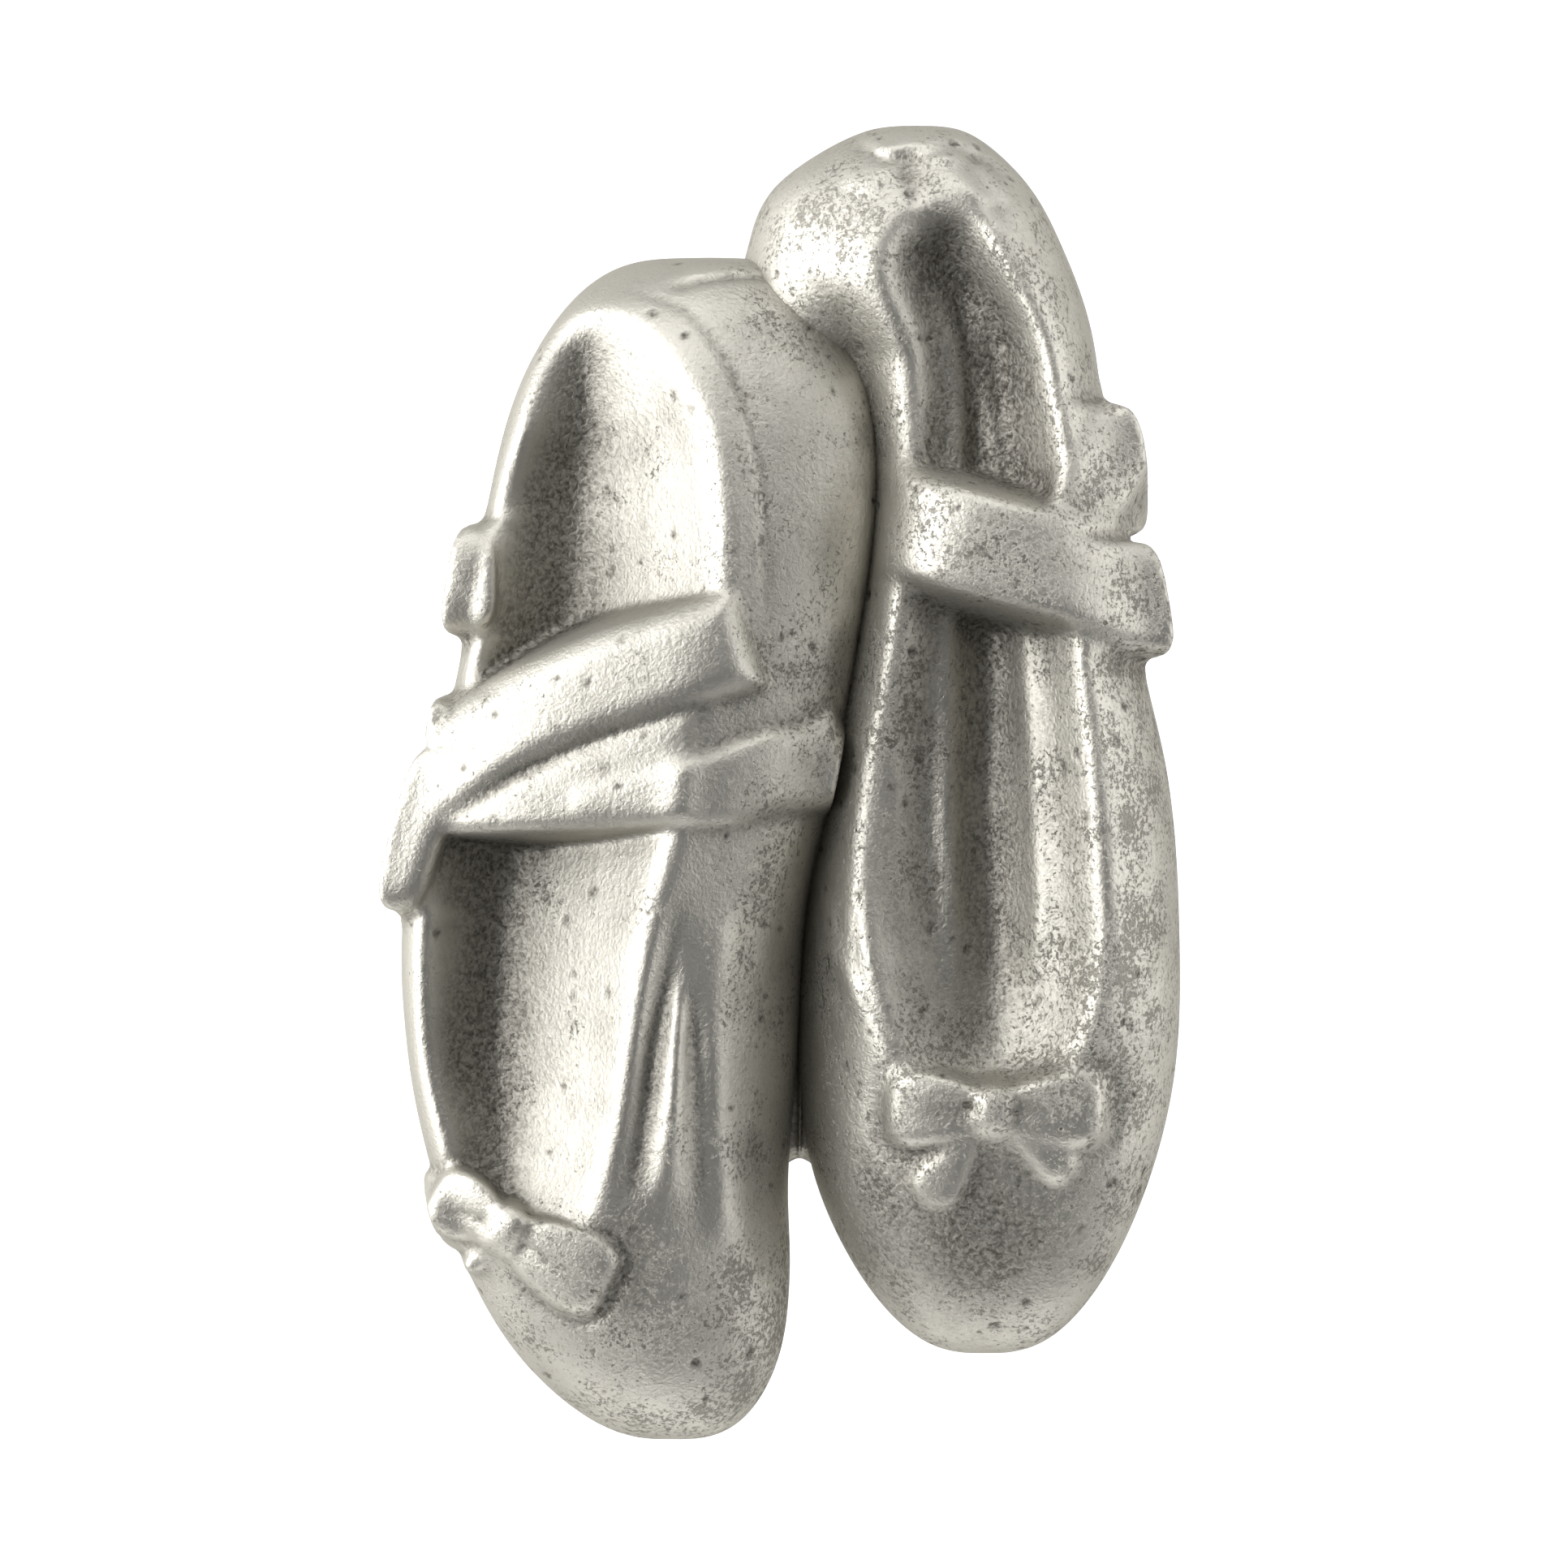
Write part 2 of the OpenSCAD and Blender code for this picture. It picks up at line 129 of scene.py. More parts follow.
class Slipper:
    """One slipper's relief, in mm, over a sheet of points: x across, z up, h above the flat back.
    t is the share of the way from heel to toe, and u goes from -1 on the left outline to 1 on the right."""

    SQUARE = 3.1      # how square the ends of the opening are, where 2 is an ellipse
    FALL = 9          # mm that the side of a lump, a tail or a knot falls over its own half width

    def __init__(self, shape, opening, heel, long, right_wall, back, wraps=(), across=300, down=620):
        self.shape, self.opening = shape, opening
        self.heel, self.long = heel, long
        self.right_wall = right_wall
        self.back = back    # mm from the drawer front to this slipper's flat back
        # the points lie closer together near the outline, where the surface turns down
        t = (1 - np.cos(np.radians(1.5 + 177 * np.arange(down) / (down - 1)))) / 2
        u = np.sin(np.radians(np.linspace(-90, 90, across)))
        self.t, self.u = np.meshgrid(t, u, indexing="ij")
        self.z = heel - long * self.t
        self.x = WIDE * along(shape, self.t, 1) + self.half(self.t) * self.u
        # a ribbon that wraps over the side stands out from the outline: side, middle, half width and how far
        for side, middle, reach, out in wraps:
            bulge = out * blunt((self.z - middle) / reach, 3.5)
            self.x = self.x + side * bulge * np.clip(side * self.u, 0, 1) ** 5
        step = 0.05         # mm, over which the slope of inside() is taken
        slope = np.hypot(
            (self.inside(self.x + step, self.z) - self.inside(self.x - step, self.z)) / (2 * step),
            (self.inside(self.x, self.z + step) - self.inside(self.x, self.z - step)) / (2 * step))
        # mm inwards from the rim of the opening
        self.q = (1 - self.inside(self.x, self.z)) / np.maximum(slope, 0.02)
        self.skin = self.dome(self.t, self.u)
        self.h = self.skin.copy()

    def ends(self, t, heel=3.6, toe=2.7):
        """1 along the middle of the slipper, rounding to 0 at the heel and at the toe."""
        return np.where(t < 0.5, blunt(2 * t - 1, heel), blunt(2 * t - 1, toe))

    def half(self, t):
        """Half of the slipper's width in mm."""
        return WIDE * along(self.shape, t, 2) * self.ends(t)

    def dome(self, t, u):
        """Height of the bare slipper with its opening bridged over."""
        ends = self.ends(t, 4.5, 2.5)
        low, high = along(self.shape, t, 3), along(self.shape, t, 4)
        full = HIGH * (low * (1 - u) + high * (1 + u)) / 2 * ends
        left_edge = EDGE + HIGH * along(self.shape, t, 6) * self.ends(t) * u**2
        right_edge = EDGE + HIGH * along(self.shape, t, 7) * self.ends(t) * u**2
        left_fall = blunt(np.clip(u, -1, 0), along(self.shape, t, 5))
        s = np.clip(u, 0, 1)
        if self.right_wall:
            # the wall leans away from the rim at once, and steepens to the outline
            rim = WIDE * (along(self.opening, t, 1) + along(self.opening, t, 2))
            rim = (rim - WIDE * along(self.shape, t, 1)) / np.maximum(self.half(t), 0.1)
            rim = np.clip(rim, 0.02, 0.6) - 0.05
            s = np.clip((u - rim) / (1 - rim), 0, 1)
            right_fall = np.clip(1 - (0.62 * s + 0.38 * s**3) ** 1.25, 0, 1) ** 0.6
        else:
            right_fall = blunt(s, 3.1)
        return np.where(u < 0, left_edge + np.maximum(full - left_edge, 0) * left_fall,
                        right_edge + np.maximum(full - right_edge, 0) * right_fall)

    def lengthwise(self, z):
        """The share t at a height z, and its place along the opening, from -1 at the heel to 1 at the toe."""
        t = (self.heel - z) / self.long
        first, last = self.opening[0][0], self.opening[-1][0]
        return t, (2 * t - first - last) / (last - first)

    def inside(self, x, z):
        """How far a point is from the middle of the opening: 1 on its rim."""
        t, a = self.lengthwise(z)
        b = (x - WIDE * along(self.opening, t, 1)) / (WIDE * along(self.opening, t, 2))
        return (np.abs(a) ** self.SQUARE + np.abs(b) ** self.SQUARE) ** (1 / self.SQUARE)

    def across(self, x, z):
        """Where a point lies across the opening, from -1 on its left rim to 1 on its right, and along it."""
        t, a = self.lengthwise(z)
        a = np.clip(a, -1, 1)
        reach = WIDE * along(self.opening, t, 2) * np.maximum(blunt(a, self.SQUARE), 0.02)
        return np.clip((x - WIDE * along(self.opening, t, 1)) / reach, -1, 1), a

    def bridged(self, reach=0.9):
        """The surface that a ribbon lies on: it keeps its height to the side, and then drops."""
        return self.dome(self.t, np.clip(self.u, -reach, reach))

    def hollow(self, deep, valley):
        """The hollow for the foot: two walls that slope to a rounded valley, and rise again at heel and toe.
        valley is its place across the opening. Gives back how deep each point lies, from 0 to about 1."""
        b, a = self.across(self.x, self.z)
        b = np.where(b > valley, (b - valley) / (1 - valley), (valley - b) / (1 + valley))
        bowl = (1 - np.sqrt(b**2 + 0.02) ** 1.2) * (1 - np.abs(a) ** 5)
        bowl = np.where(self.q > 0, np.maximum(bowl, 0), 0)
        self.h = self.h - deep * bowl
        return bowl

    def distance(self, line, pieces=79):
        """mm from a smooth line of (x, z) points, and the share of the line's length that is nearest."""
        line = np.array(line, float)
        rows = np.column_stack([np.linspace(0, 1, len(line)), line])
        fine = np.linspace(0, 1, pieces + 1)
        px, pz = along(rows, fine, 1), along(rows, fine, 2)
        best, where = np.full(self.x.shape, np.inf), np.zeros(self.x.shape)
        for i in range(pieces):
            dx, dz = px[i + 1] - px[i], pz[i + 1] - pz[i]
            k = ((self.x - px[i]) * dx + (self.z - pz[i]) * dz) / (dx * dx + dz * dz)
            k = np.clip(k, 0, 1)
            d = np.hypot(self.x - px[i] - k * dx, self.z - pz[i] - k * dz)
            near = d < best
            best = np.where(near, d, best)
            where = np.where(near, fine[i] + k * (fine[1] - fine[0]), where)
        return best, where

    def turned(self, x, z, turn):
        """mm from (x, z) along a direction turn degrees from level, and mm square to it."""
        c, s = math.cos(math.radians(turn)), math.sin(math.radians(turn))
        return (self.x - x) * c + (self.z - z) * s, -(self.x - x) * s + (self.z - z) * c

    def groove(self, line, wide, deep, fade=0.12):
        """A soft-sided groove along a line, or a fold where deep is negative.
        wide may be a pair, from start to end, and fade is the share of the line in which each end dies away."""
        d, s = self.distance(line)
        first, last = wide if isinstance(wide, tuple) else (wide, wide)
        ends = np.clip(s / fade, 0, 1) * np.clip((1 - s) / fade, 0, 1)
        self.h = self.h - deep * np.exp(-(d / (first + (last - first) * s)) ** 2) * ends

    def ribbon(self, line, widths, lift, round_over=0.9, reach=0.9, fillet=0.45, cut=None):
        """A flat ribbon, solid down to the floor of the hollow, its rounded edges melting into the slipper.
        cut is a point of its square end and the way that end faces."""
        side_fall, crown, bridge = 7, 0.12, 13    # mm down for each mm out, mm, and cells of softening
        d, s = self.distance(line)
        wide = np.interp(s, np.linspace(0, 1, len(widths)), widths) / 2
        if cut:
            d = np.maximum(np.minimum(d, wide + 4), self.turned(*cut)[0] + wide)
        over = d - (wide - round_over)
        rounded = np.sqrt(np.maximum(round_over**2 - np.minimum(over, round_over) ** 2, 0))
        edge = np.where(over <= 0, 0, round_over - rounded) + np.maximum(d - wide, 0) * side_fall
        top = soften(self.bridged(reach), bridge) + lift + crown * (1 - np.minimum(d / wide, 1) ** 2) - edge
        self.h = melt(self.h, top, fillet)

    def lump(self, x, z, wide, tall, turn, high, power=2.4, base=None, fillet=0.25):
        """A rounded lump on the surface: an oval wide by tall mm, turned by turn degrees."""
        a, b = self.turned(x, z, turn)
        r = (np.abs(a / (wide / 2)) ** power + np.abs(b / (tall / 2)) ** power) ** (1 / power)
        base = self.bridged() if base is None else base
        top = base + high * np.sqrt(np.clip(1 - r**2, 0, 1)) - np.maximum(r - 1, 0) * self.FALL
        self.h = melt(self.h, top, fillet)

    def bow(self, x, z, turn, left_loop, right_loop, tails, edge, high=1.15):
        """A tied bow, cast a little over 1 mm proud: two pinched loops, cut tails and a knot. A loop is its
        reach and its height, a tail its two ends as seen from the knot and its width at each. edge is the
        loops' lip."""
        loop_fall, tail_high, foot_deep, fillet = 12, 0.62, 0.28, 0.12
        knot_half_wide, knot_half_tall = 1.0, 1.35
        a, b = self.turned(x, z, turn)
        base = soften(self.bridged(0.86), 4)
        for side, (reach, tall) in ((-1, left_loop), (1, right_loop)):
            f = side * a / reach    # 0 at the knot and 1 at the loop's end
            half = tall / 2 * (0.48 + 0.52 * np.sin(np.clip(f * 1.3, 0, 1) * math.pi / 2))
            r = (np.abs((f - 0.5) / 0.5) ** 4 + np.abs(b / half) ** 4) ** (1 / 4)
            crease = 0.5 * np.exp(-((b + 0.1 * tall * f) / (0.12 + 0.25 * f)) ** 2)
            crease = crease * np.clip(1 - f * 1.2, 0, 1)
            lip = edge * np.exp(-((r - 0.80) / 0.10) ** 2)
            body = high * (0.70 + 0.30 * f) * blunt(r, 2.8)
            self.h = melt(self.h, base + body + lip - crease - np.maximum(r - 1, 0) * loop_fall, fillet)
            # the metal is a little lower at the loop's foot
            foot = np.exp(-((r - 1.12) / 0.09) ** 2) * np.clip((f - 0.1) / 0.2, 0, 1)
            self.h = self.h - foot_deep * foot
        for x1, z1, x2, z2, w1, w2 in tails:
            dx, dz = x2 - x1, z2 - z1
            k = np.clip(((a - x1) * dx + (b - z1) * dz) / (dx**2 + dz**2), 0, 1)
            r = np.hypot(a - x1 - k * dx, b - z1 - k * dz) / ((w1 + (w2 - w1) * k) / 2)
            top = base + tail_high * blunt(r, 3.5) - np.maximum(r - 1, 0) * self.FALL
            self.h = melt(self.h, top, fillet)
        r = (np.abs(a / knot_half_wide) ** 3.4 + np.abs(b / knot_half_tall) ** 3.4) ** (1 / 3.4)
        top = base + high * 1.25 * blunt(r, 2.6) - np.maximum(r - 1, 0) * self.FALL
        self.h = melt(self.h, top, 0.15)

    def cast(self, name, seed, pits, gassy, lightened, dark_spots):
        """The closed casting: the relief drawn back to the flat back, cut to small even facets and eased."""
        down, across = self.x.shape
        bm = bmesh.new()
        bmesh.ops.create_grid(bm, x_segments=across - 1, y_segments=down - 1, size=1)
        bm.verts.ensure_lookup_table()
        flat = np.array([v.co[:2] for v in bm.verts])
        col = np.rint((flat[:, 0] + 1) / 2 * (across - 1)).astype(int)
        row = np.rint((flat[:, 1] + 1) / 2 * (down - 1)).astype(int)
        h = np.maximum(self.h, EDGE * 0.8)
        for v, j, i in zip(bm.verts, col, row, strict=True):
            v.co = (self.x[i, j], -(POST + h[i, j]), self.z[i, j])
        rim = bmesh.ops.extrude_edge_only(bm, edges=[e for e in bm.edges if e.is_boundary])["geom"]
        for v in (g for g in rim if isinstance(g, bmesh.types.BMVert)):
            v.co.y = -self.back
        bmesh.ops.holes_fill(bm, edges=[e for e in bm.edges if e.is_boundary], sides=0)
        bmesh.ops.recalc_face_normals(bm, faces=bm.faces)
        mesh = bpy.data.meshes.new(name)
        bm.to_mesh(mesh)
        bm.free()
        piece = bpy.data.objects.new(name, mesh)
        bpy.context.scene.collection.objects.link(piece)
        remesh = piece.modifiers.new("even facets", "REMESH")
        remesh.mode, remesh.voxel_size, remesh.adaptivity = "VOXEL", FACET, 0
        ease = piece.modifiers.new("eased corners", "SMOOTH")
        ease.factor, ease.iterations = 0.5, 2
        done = bpy.data.meshes.new_from_object(piece.evaluated_get(bpy.context.evaluated_depsgraph_get()))
        piece.modifiers.clear()
        piece.data = done
        bpy.data.meshes.remove(mesh)
        done.name = name
        pitted = self.pit(done, seed, pits)
        self.shade(done, pitted, gassy, lightened, dark_spots)
        done.transform(Matrix.Scale(MM, 4))
        for p in done.polygons:
            p.use_smooth = True
        return piece

    def pit(self, mesh, seed, pits):
        """Gas pits, the round pinholes of a hurried pour: pits of them, 0.4 to 0.7 mm across. Gives back how
        far each point lies in one, 1 in its middle."""
        rng = np.random.default_rng(seed)
        co, normal = surface(mesh)
        tree = kdtree.KDTree(len(co))
        for i, p in enumerate(co):
            tree.insert(p, i)
        tree.balance()
        pitted = np.zeros(len(co))
        for i in rng.choice(np.flatnonzero(co[:, 1] < -POST - FRONT), pits, replace=False):
            r = rng.uniform(0.2, 0.34)
            deep = r * rng.uniform(0.2, 0.4)
            for _, j, d in tree.find_range(co[i], r):
                mesh.vertices[j].co = Vector(co[j] - normal[j] * deep * (1 - (d / r) ** 2))
                pitted[j] = max(pitted[j], 1 - (d / r) ** 2)
        return pitted

    def shade(self, mesh, pitted, gassy, lightened, dark_spots):
        """Marks how dark each point is painted: patina by how deep it lies below the rim and among its
        neighbours, and painted shade with patina in a pit. gassy gives, for a place in mm, how full of gas the
        metal is there.
        lightened gives, for a place across and along the opening, how much of the hollow's darkening is taken
        away there; on the left slipper this is painted light on the hollow's right wall and painted shade left
        on its left wall. dark_spots lists spots outside the hollow that are painted darker, among them painted
        shade
        on the right toe: x, z, half width, half height and how much darker."""
        near_passes, far_passes = 12, 60    # of averaging with the neighbours: for fine and for broad recesses
        n = len(mesh.vertices)
        co, normal = surface(mesh)
        e = np.empty(len(mesh.edges) * 2, int)
        mesh.edges.foreach_get("vertices", e)
        a, b = e.reshape(-1, 2).T
        count = np.bincount(a, minlength=n) + np.bincount(b, minlength=n)
        p, sunk = co.copy(), {}
        for done in range(1, far_passes + 1):
            total = [np.bincount(a, p[b, k], n) + np.bincount(b, p[a, k], n) for k in range(3)]
            p = np.column_stack(total) / count[:, None]
            if done in (near_passes, far_passes):
                sunk[done] = ((p - co) * normal).sum(1)
        t = np.clip((self.heel - co[:, 2]) / self.long, 0, 1)
        middle, half = WIDE * along(self.shape, t, 1), np.maximum(self.half(t), 0.1)
        below = self.dome(t, np.clip((co[:, 0] - middle) / half, -1, 1)) + co[:, 1] + POST
        b, a = self.across(co[:, 0], co[:, 2])
        relief = co[:, 1] < -POST - FRONT
        within = (self.inside(co[:, 0], co[:, 2]) < 1) & relief
        fine, broad = np.clip(sunk[near_passes] / 0.15, -1, 1), np.clip(sunk[far_passes] / 0.7, -1, 1)
        recess = fine * 0.35 + broad * 0.4 + 0.6 * np.where(within, np.clip(below / 4.5, 0, 1), 0)
        # in the hollow the darkening is taken away as lightened says, which paints light and shade on the left
        # slipper; outside it is capped; pits are painted dark for their shade and patina
        recess = np.where(within, recess * (1 - lightened(b, a)), np.minimum(recess, 0.3)) + 0.6 * pitted
        # spots outside the hollow painted darker, among them the right toe's painted shade
        for x, z, wide, tall, spot_darkening in dark_spots:
            spot = np.exp(-((co[:, 0] - x) / wide) ** 2 - ((co[:, 2] - z) / tall) ** 2)
            recess = recess + spot_darkening * spot * (~within & relief)
        for mark, value in (("recess", recess), ("gassy", gassy(co[:, 0], co[:, 2]))):
            field = mesh.attributes.new(mark, "FLOAT", "POINT")
            field.data.foreach_set("value", value.astype(np.float32))


left = Slipper(LEFT_SHAPE, LEFT_OPENING, LEFT_HEEL, LEFT_LONG, right_wall=True, back=POST,
               wraps=((-1, 9.85, 2.7, 1.2), (-1, 3.1, 1.2, 0.8), (-1, -2.2, 3.9, 1.3), (-1, -20.7, 1.9, 0.6)))
left.h = left.h + 0.48 * np.exp(-((left.q + 0.1) / RIM_WIDE) ** 2)
left.hollow(deep=5.2, valley=-0.22)
left.h = soften(left.h, 4)
# folds of the satin below the straps: a tight valley beside the rim, a fold, a broad valley and a second fold
left.groove([(-5.0, -5.2), (-5.5, -8.1), (-5.8, -10.4), (-6.3, -13.2), (-6.7, -16.0), (-7.2, -18.3),
             (-7.8, -20.1), (-8.2, -22.0)], (0.4, 1.3), 0.9, fade=0.3)
left.groove([(-5.1, -9.2), (-5.1, -11.5), (-5.2, -14.0), (-5.4, -17.0), (-5.6, -20.5)],
            (0.35, 1.0), -0.6, fade=0.25)
left.groove([(-4.5, -9.4), (-4.4, -12.0), (-4.2, -15.0), (-4.1, -18.5), (-4.0, -22.8)],
            (0.35, 1.0), 0.45, fade=0.25)
left.groove([(-2.8, -6.0), (-3.0, -9.2), (-3.3, -16.0), (-2.9, -19.0), (-2.7, -23.0)], 1.0, -0.35)
left.groove([(-1.3, -16.5), (-1.2, -18.7), (-1.1, -24.0)], 0.6, 0.25)
left.h = soften(left.h, 1.8)
# the line of stitches that holds the binding, round the heel and down to the straps
left.groove([(-8.2, 24.0), (-5.2, 23.0), (-3.8, 21.7), (-2.3, 19.3), (-1.3, 15.8), (-0.9, 13.0), (-0.9, 7.3)],
            0.2, 0.2)
# the back seam of the heel, pressed in with a lip above it
left.groove([(-5.7, 23.8), (-3.4, 24.3), (-0.6, 24.5), (0.9, 24.3)], 0.2, 0.45)
left.groove([(-5.0, 24.6), (-2.4, 25.0), (0.4, 25.0)], 0.5, -0.15)
# the lower ribbon, spread over the opening and then narrow over the side
left.ribbon([(-16.2, -1.9), (-13.3, -1.1), (-9.5, -0.2), (-6.0, 0.5), (-3.5, 1.0)],
            (1.2, 2.7, 4.3, 5.5, 6.0), 0.7, cut=(-3.9, 0.5, 0))
left.ribbon([(-9.5, -0.8), (-6.0, -0.5), (-3.1, -0.2), (-0.6, 0.5), (1.6, 0.9), (4.2, 2.2)],
            (2.0, 3.2, 3.9, 4.1, 4.2, 4.2), 0.8, cut=(3.1, 1.6, 20))
# the ribbon that crosses over it
left.ribbon([(1.0, 7.4), (-2.8, 6.6), (-4.9, 6.0), (-7.8, 5.1), (-10.9, 3.9), (-13.7, 2.5), (-16.0, 0.8),
             (-17.9, -0.95), (-19.2, -4.4)],
            (4.6, 5.1, 5.1, 5.2, 5.0, 4.7, 4.4, 4.4, 4.4), 1.3, round_over=1.5, fillet=0.8,
            cut=(-1.5, 6.9, 20))
# the lower ribbon is creased where it bends over the edge of the slipper
left.groove([(-4.5, 1.6), (-4.9, -0.2), (-5.2, -2.2)], 0.9, -0.35, fade=0.25)
# two ribbon ends that come over the left side
left.lump(-15.6, 9.85, 3.6, 5.0, 0, 1.2, power=3.6)
left.lump(-17.0, 3.2, 2.4, 1.9, 0, 0.9)
left.bow(-13.5, -21.5, -29, (3.9, 3.5), (5.8, 4.2), ((0.0, -0.8, -0.5, -2.2, 0.9, 0.9),), edge=0.08)


def left_gassy(x, z):
    """Most gas was caught in the toe and along the right side."""
    return 1.4 * np.clip((-20 - z) / 6, 0, 1) + 0.9 * np.clip((x + 4) / 3, 0, 1) - 0.6


def left_hollow_painted_light(b, a):
    """Painted light on the hollow's right wall, which faces the lamp; its left wall keeps painted shade."""
    return 0.85 * np.clip((b + 0.45) / 0.6, 0, 1)


# the left slipper's spots painted darker: one beside the bow, and a faint one by the heel
left_cast = left.cast("left_slipper_cast", 3, 90, left_gassy, left_hollow_painted_light,
                      dark_spots=((-7.7, -23.4, 1.2, 2.6, 0.6), (-2.8, 21.0, 3.0, 2.0, 0.12)))
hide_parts("left_slipper", "left_binding", "left_cross_ribbon", "left_lower_ribbon",
            "left_ribbon_tab", "left_bow")
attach(left_cast, "casting")


def tone(code):
    """An sRGB hex colour as the linear one that a shader takes."""
    parts = [int(code[i:i + 2], 16) / 255 for i in (1, 3, 5)]
    return [c / 12.92 if c <= 0.04045 else ((c + 0.055) / 1.055) ** 2.4 for c in parts] + [1.0]


def node(tree, kind, settings=None, **links):
    """Adds one node: settings are its properties, links its inputs by name or as i and their number, with
    values or other sockets."""
    made = tree.nodes.new(kind)
    for key, value in (settings or {}).items():
        setattr(made, key, value)
    for key, value in links.items():
        numbered = key[0] == "i" and key[1:].isdigit()
        socket = made.inputs[int(key[1:]) if numbered else key.replace("_", " ")]
        if isinstance(value, bpy.types.NodeSocket):
            tree.links.new(value, socket)
        else:
            socket.default_value = value
    return made


def per(mm):
    """The pattern scale, on coordinates in metres, that repeats every mm millimetres."""
    return 1 / (mm * MM)


TIMES = {"operation": "MULTIPLY"}
TIMES_PLUS = {"operation": "MULTIPLY_ADD"}
GRADUAL = {"interpolation_type": "SMOOTHSTEP"}
COLOURS = {"data_type": "RGBA"}


def antique_pewter():
    """Cast pewter, darkened in a bath and then buffed back with a soft wheel: silvery and satin on what stands
    proud, brown-grey and beaded by the mould's sand in what lies deep. The dark is also painted shade on the
    left slipper's hollow wall, on the right slipper's toe and in the pits. The beads are about 0.26 mm across,
    the grit between them 0.16 mm and the pinholes 0.1 to 0.4 mm."""
    mat = bpy.data.materials.new("antique_pewter_sand_cast_and_rubbed")
    mat.use_nodes = True
    t = mat.node_tree
    t.nodes.clear()
    place = node(t, "ShaderNodeTexCoord").outputs["Object"]
    recess = node(t, "ShaderNodeAttribute", {"attribute_name": "recess"}).outputs["Fac"]
    gassy = node(t, "ShaderNodeAttribute", {"attribute_name": "gassy"}).outputs["Fac"]
    blotch = node(t, "ShaderNodeTexNoise", Vector=place, Scale=per(5), Detail=5.0,
                  Roughness=0.65).outputs["Fac"]
    grit = node(t, "ShaderNodeTexNoise", Vector=place, Scale=per(0.16), Detail=3.0,
                Roughness=0.7).outputs["Fac"]
    bead = node(t, "ShaderNodeTexNoise", Vector=place, Scale=per(0.26), Detail=1.0,
                Distortion=0.5).outputs["Fac"]
    # how much of the mould's skin is left: all of it in deep places, patches of it where the wheel skipped, and
    # the painted shade that the recess mark carries
    deep = node(t, "ShaderNodeMath", TIMES_PLUS, i0=blotch, i1=0.9, i2=recess).outputs[0]
    skin = node(t, "ShaderNodeMapRange", GRADUAL, Value=deep, From_Min=0.20, From_Max=1.05).outputs[0]
    # the dark of the bath stays between the beads
    beads = node(t, "ShaderNodeMath", TIMES_PLUS, i0=bead, i1=1.2, i2=grit).outputs[0]
    low = node(t, "ShaderNodeMapRange", Value=beads, From_Min=1.30, From_Max=0.80).outputs[0]
    dark = node(t, "ShaderNodeMapRange", Value=low, To_Min=0.32, To_Max=0.85).outputs[0]
    # patina and painted shade together set how dark the base colour is
    patina_and_shade = node(t, "ShaderNodeMath", TIMES, i0=skin, i1=dark).outputs[0]
    base = node(t, "ShaderNodeMix", COLOURS, Factor=patina_and_shade, i6=tone("#CAC7BE"), i7=tone("#46413A")).outputs[2]
    # pinholes: a few round ones up to 0.4 mm across, and drifts of ragged ones of 0.1 to 0.3 mm in gassy metal,
    # painted dark for the shade and patina in them
    cells = node(t, "ShaderNodeTexVoronoi", Vector=place, Scale=per(0.7))
    lot = node(t, "ShaderNodeSeparateColor", Color=cells.outputs["Color"]).outputs[0]
    more = node(t, "ShaderNodeMath", TIMES_PLUS, i0=gassy, i1=0.35, i2=lot).outputs[0]
    size = node(t, "ShaderNodeMapRange", Value=more, From_Min=0.75, From_Max=1.35, To_Min=0.0,
                To_Max=0.28).outputs[0]
    hole = node(t, "ShaderNodeMath", {"operation": "SUBTRACT"}, i0=size,
                i1=cells.outputs["Distance"]).outputs[0]
    round_pit = node(t, "ShaderNodeMapRange", GRADUAL, Value=hole, From_Min=0.0, From_Max=0.1).outputs[0]
    ragged = node(t, "ShaderNodeTexNoise", Vector=place, Scale=per(0.25), Detail=5.0, Roughness=0.8,
                  Distortion=0.2).outputs["Fac"]
    drift = node(t, "ShaderNodeTexNoise", Vector=place, Scale=per(3.2), Detail=3.0,
                 Roughness=0.6).outputs["Fac"]
    gas = node(t, "ShaderNodeMath", TIMES_PLUS, i0=gassy, i1=0.08, i2=ragged).outputs[0]
    gas = node(t, "ShaderNodeMath", TIMES_PLUS, i0=drift, i1=0.45, i2=gas).outputs[0]
    pepper = node(t, "ShaderNodeMapRange", GRADUAL, Value=gas, From_Min=0.80, From_Max=0.89).outputs[0]
    pit = node(t, "ShaderNodeMath", {"operation": "MAXIMUM"}, i0=round_pit, i1=pepper).outputs[0]
    pit_shade_and_patina = node(t, "ShaderNodeMath", TIMES, i0=pit, i1=0.6).outputs[0]
    holed = node(t, "ShaderNodeMix", COLOURS, Factor=pit_shade_and_patina, i6=base, i7=tone("#57534A")).outputs[2]
    rough = node(t, "ShaderNodeMapRange", Value=skin, To_Min=0.50, To_Max=0.60).outputs[0]
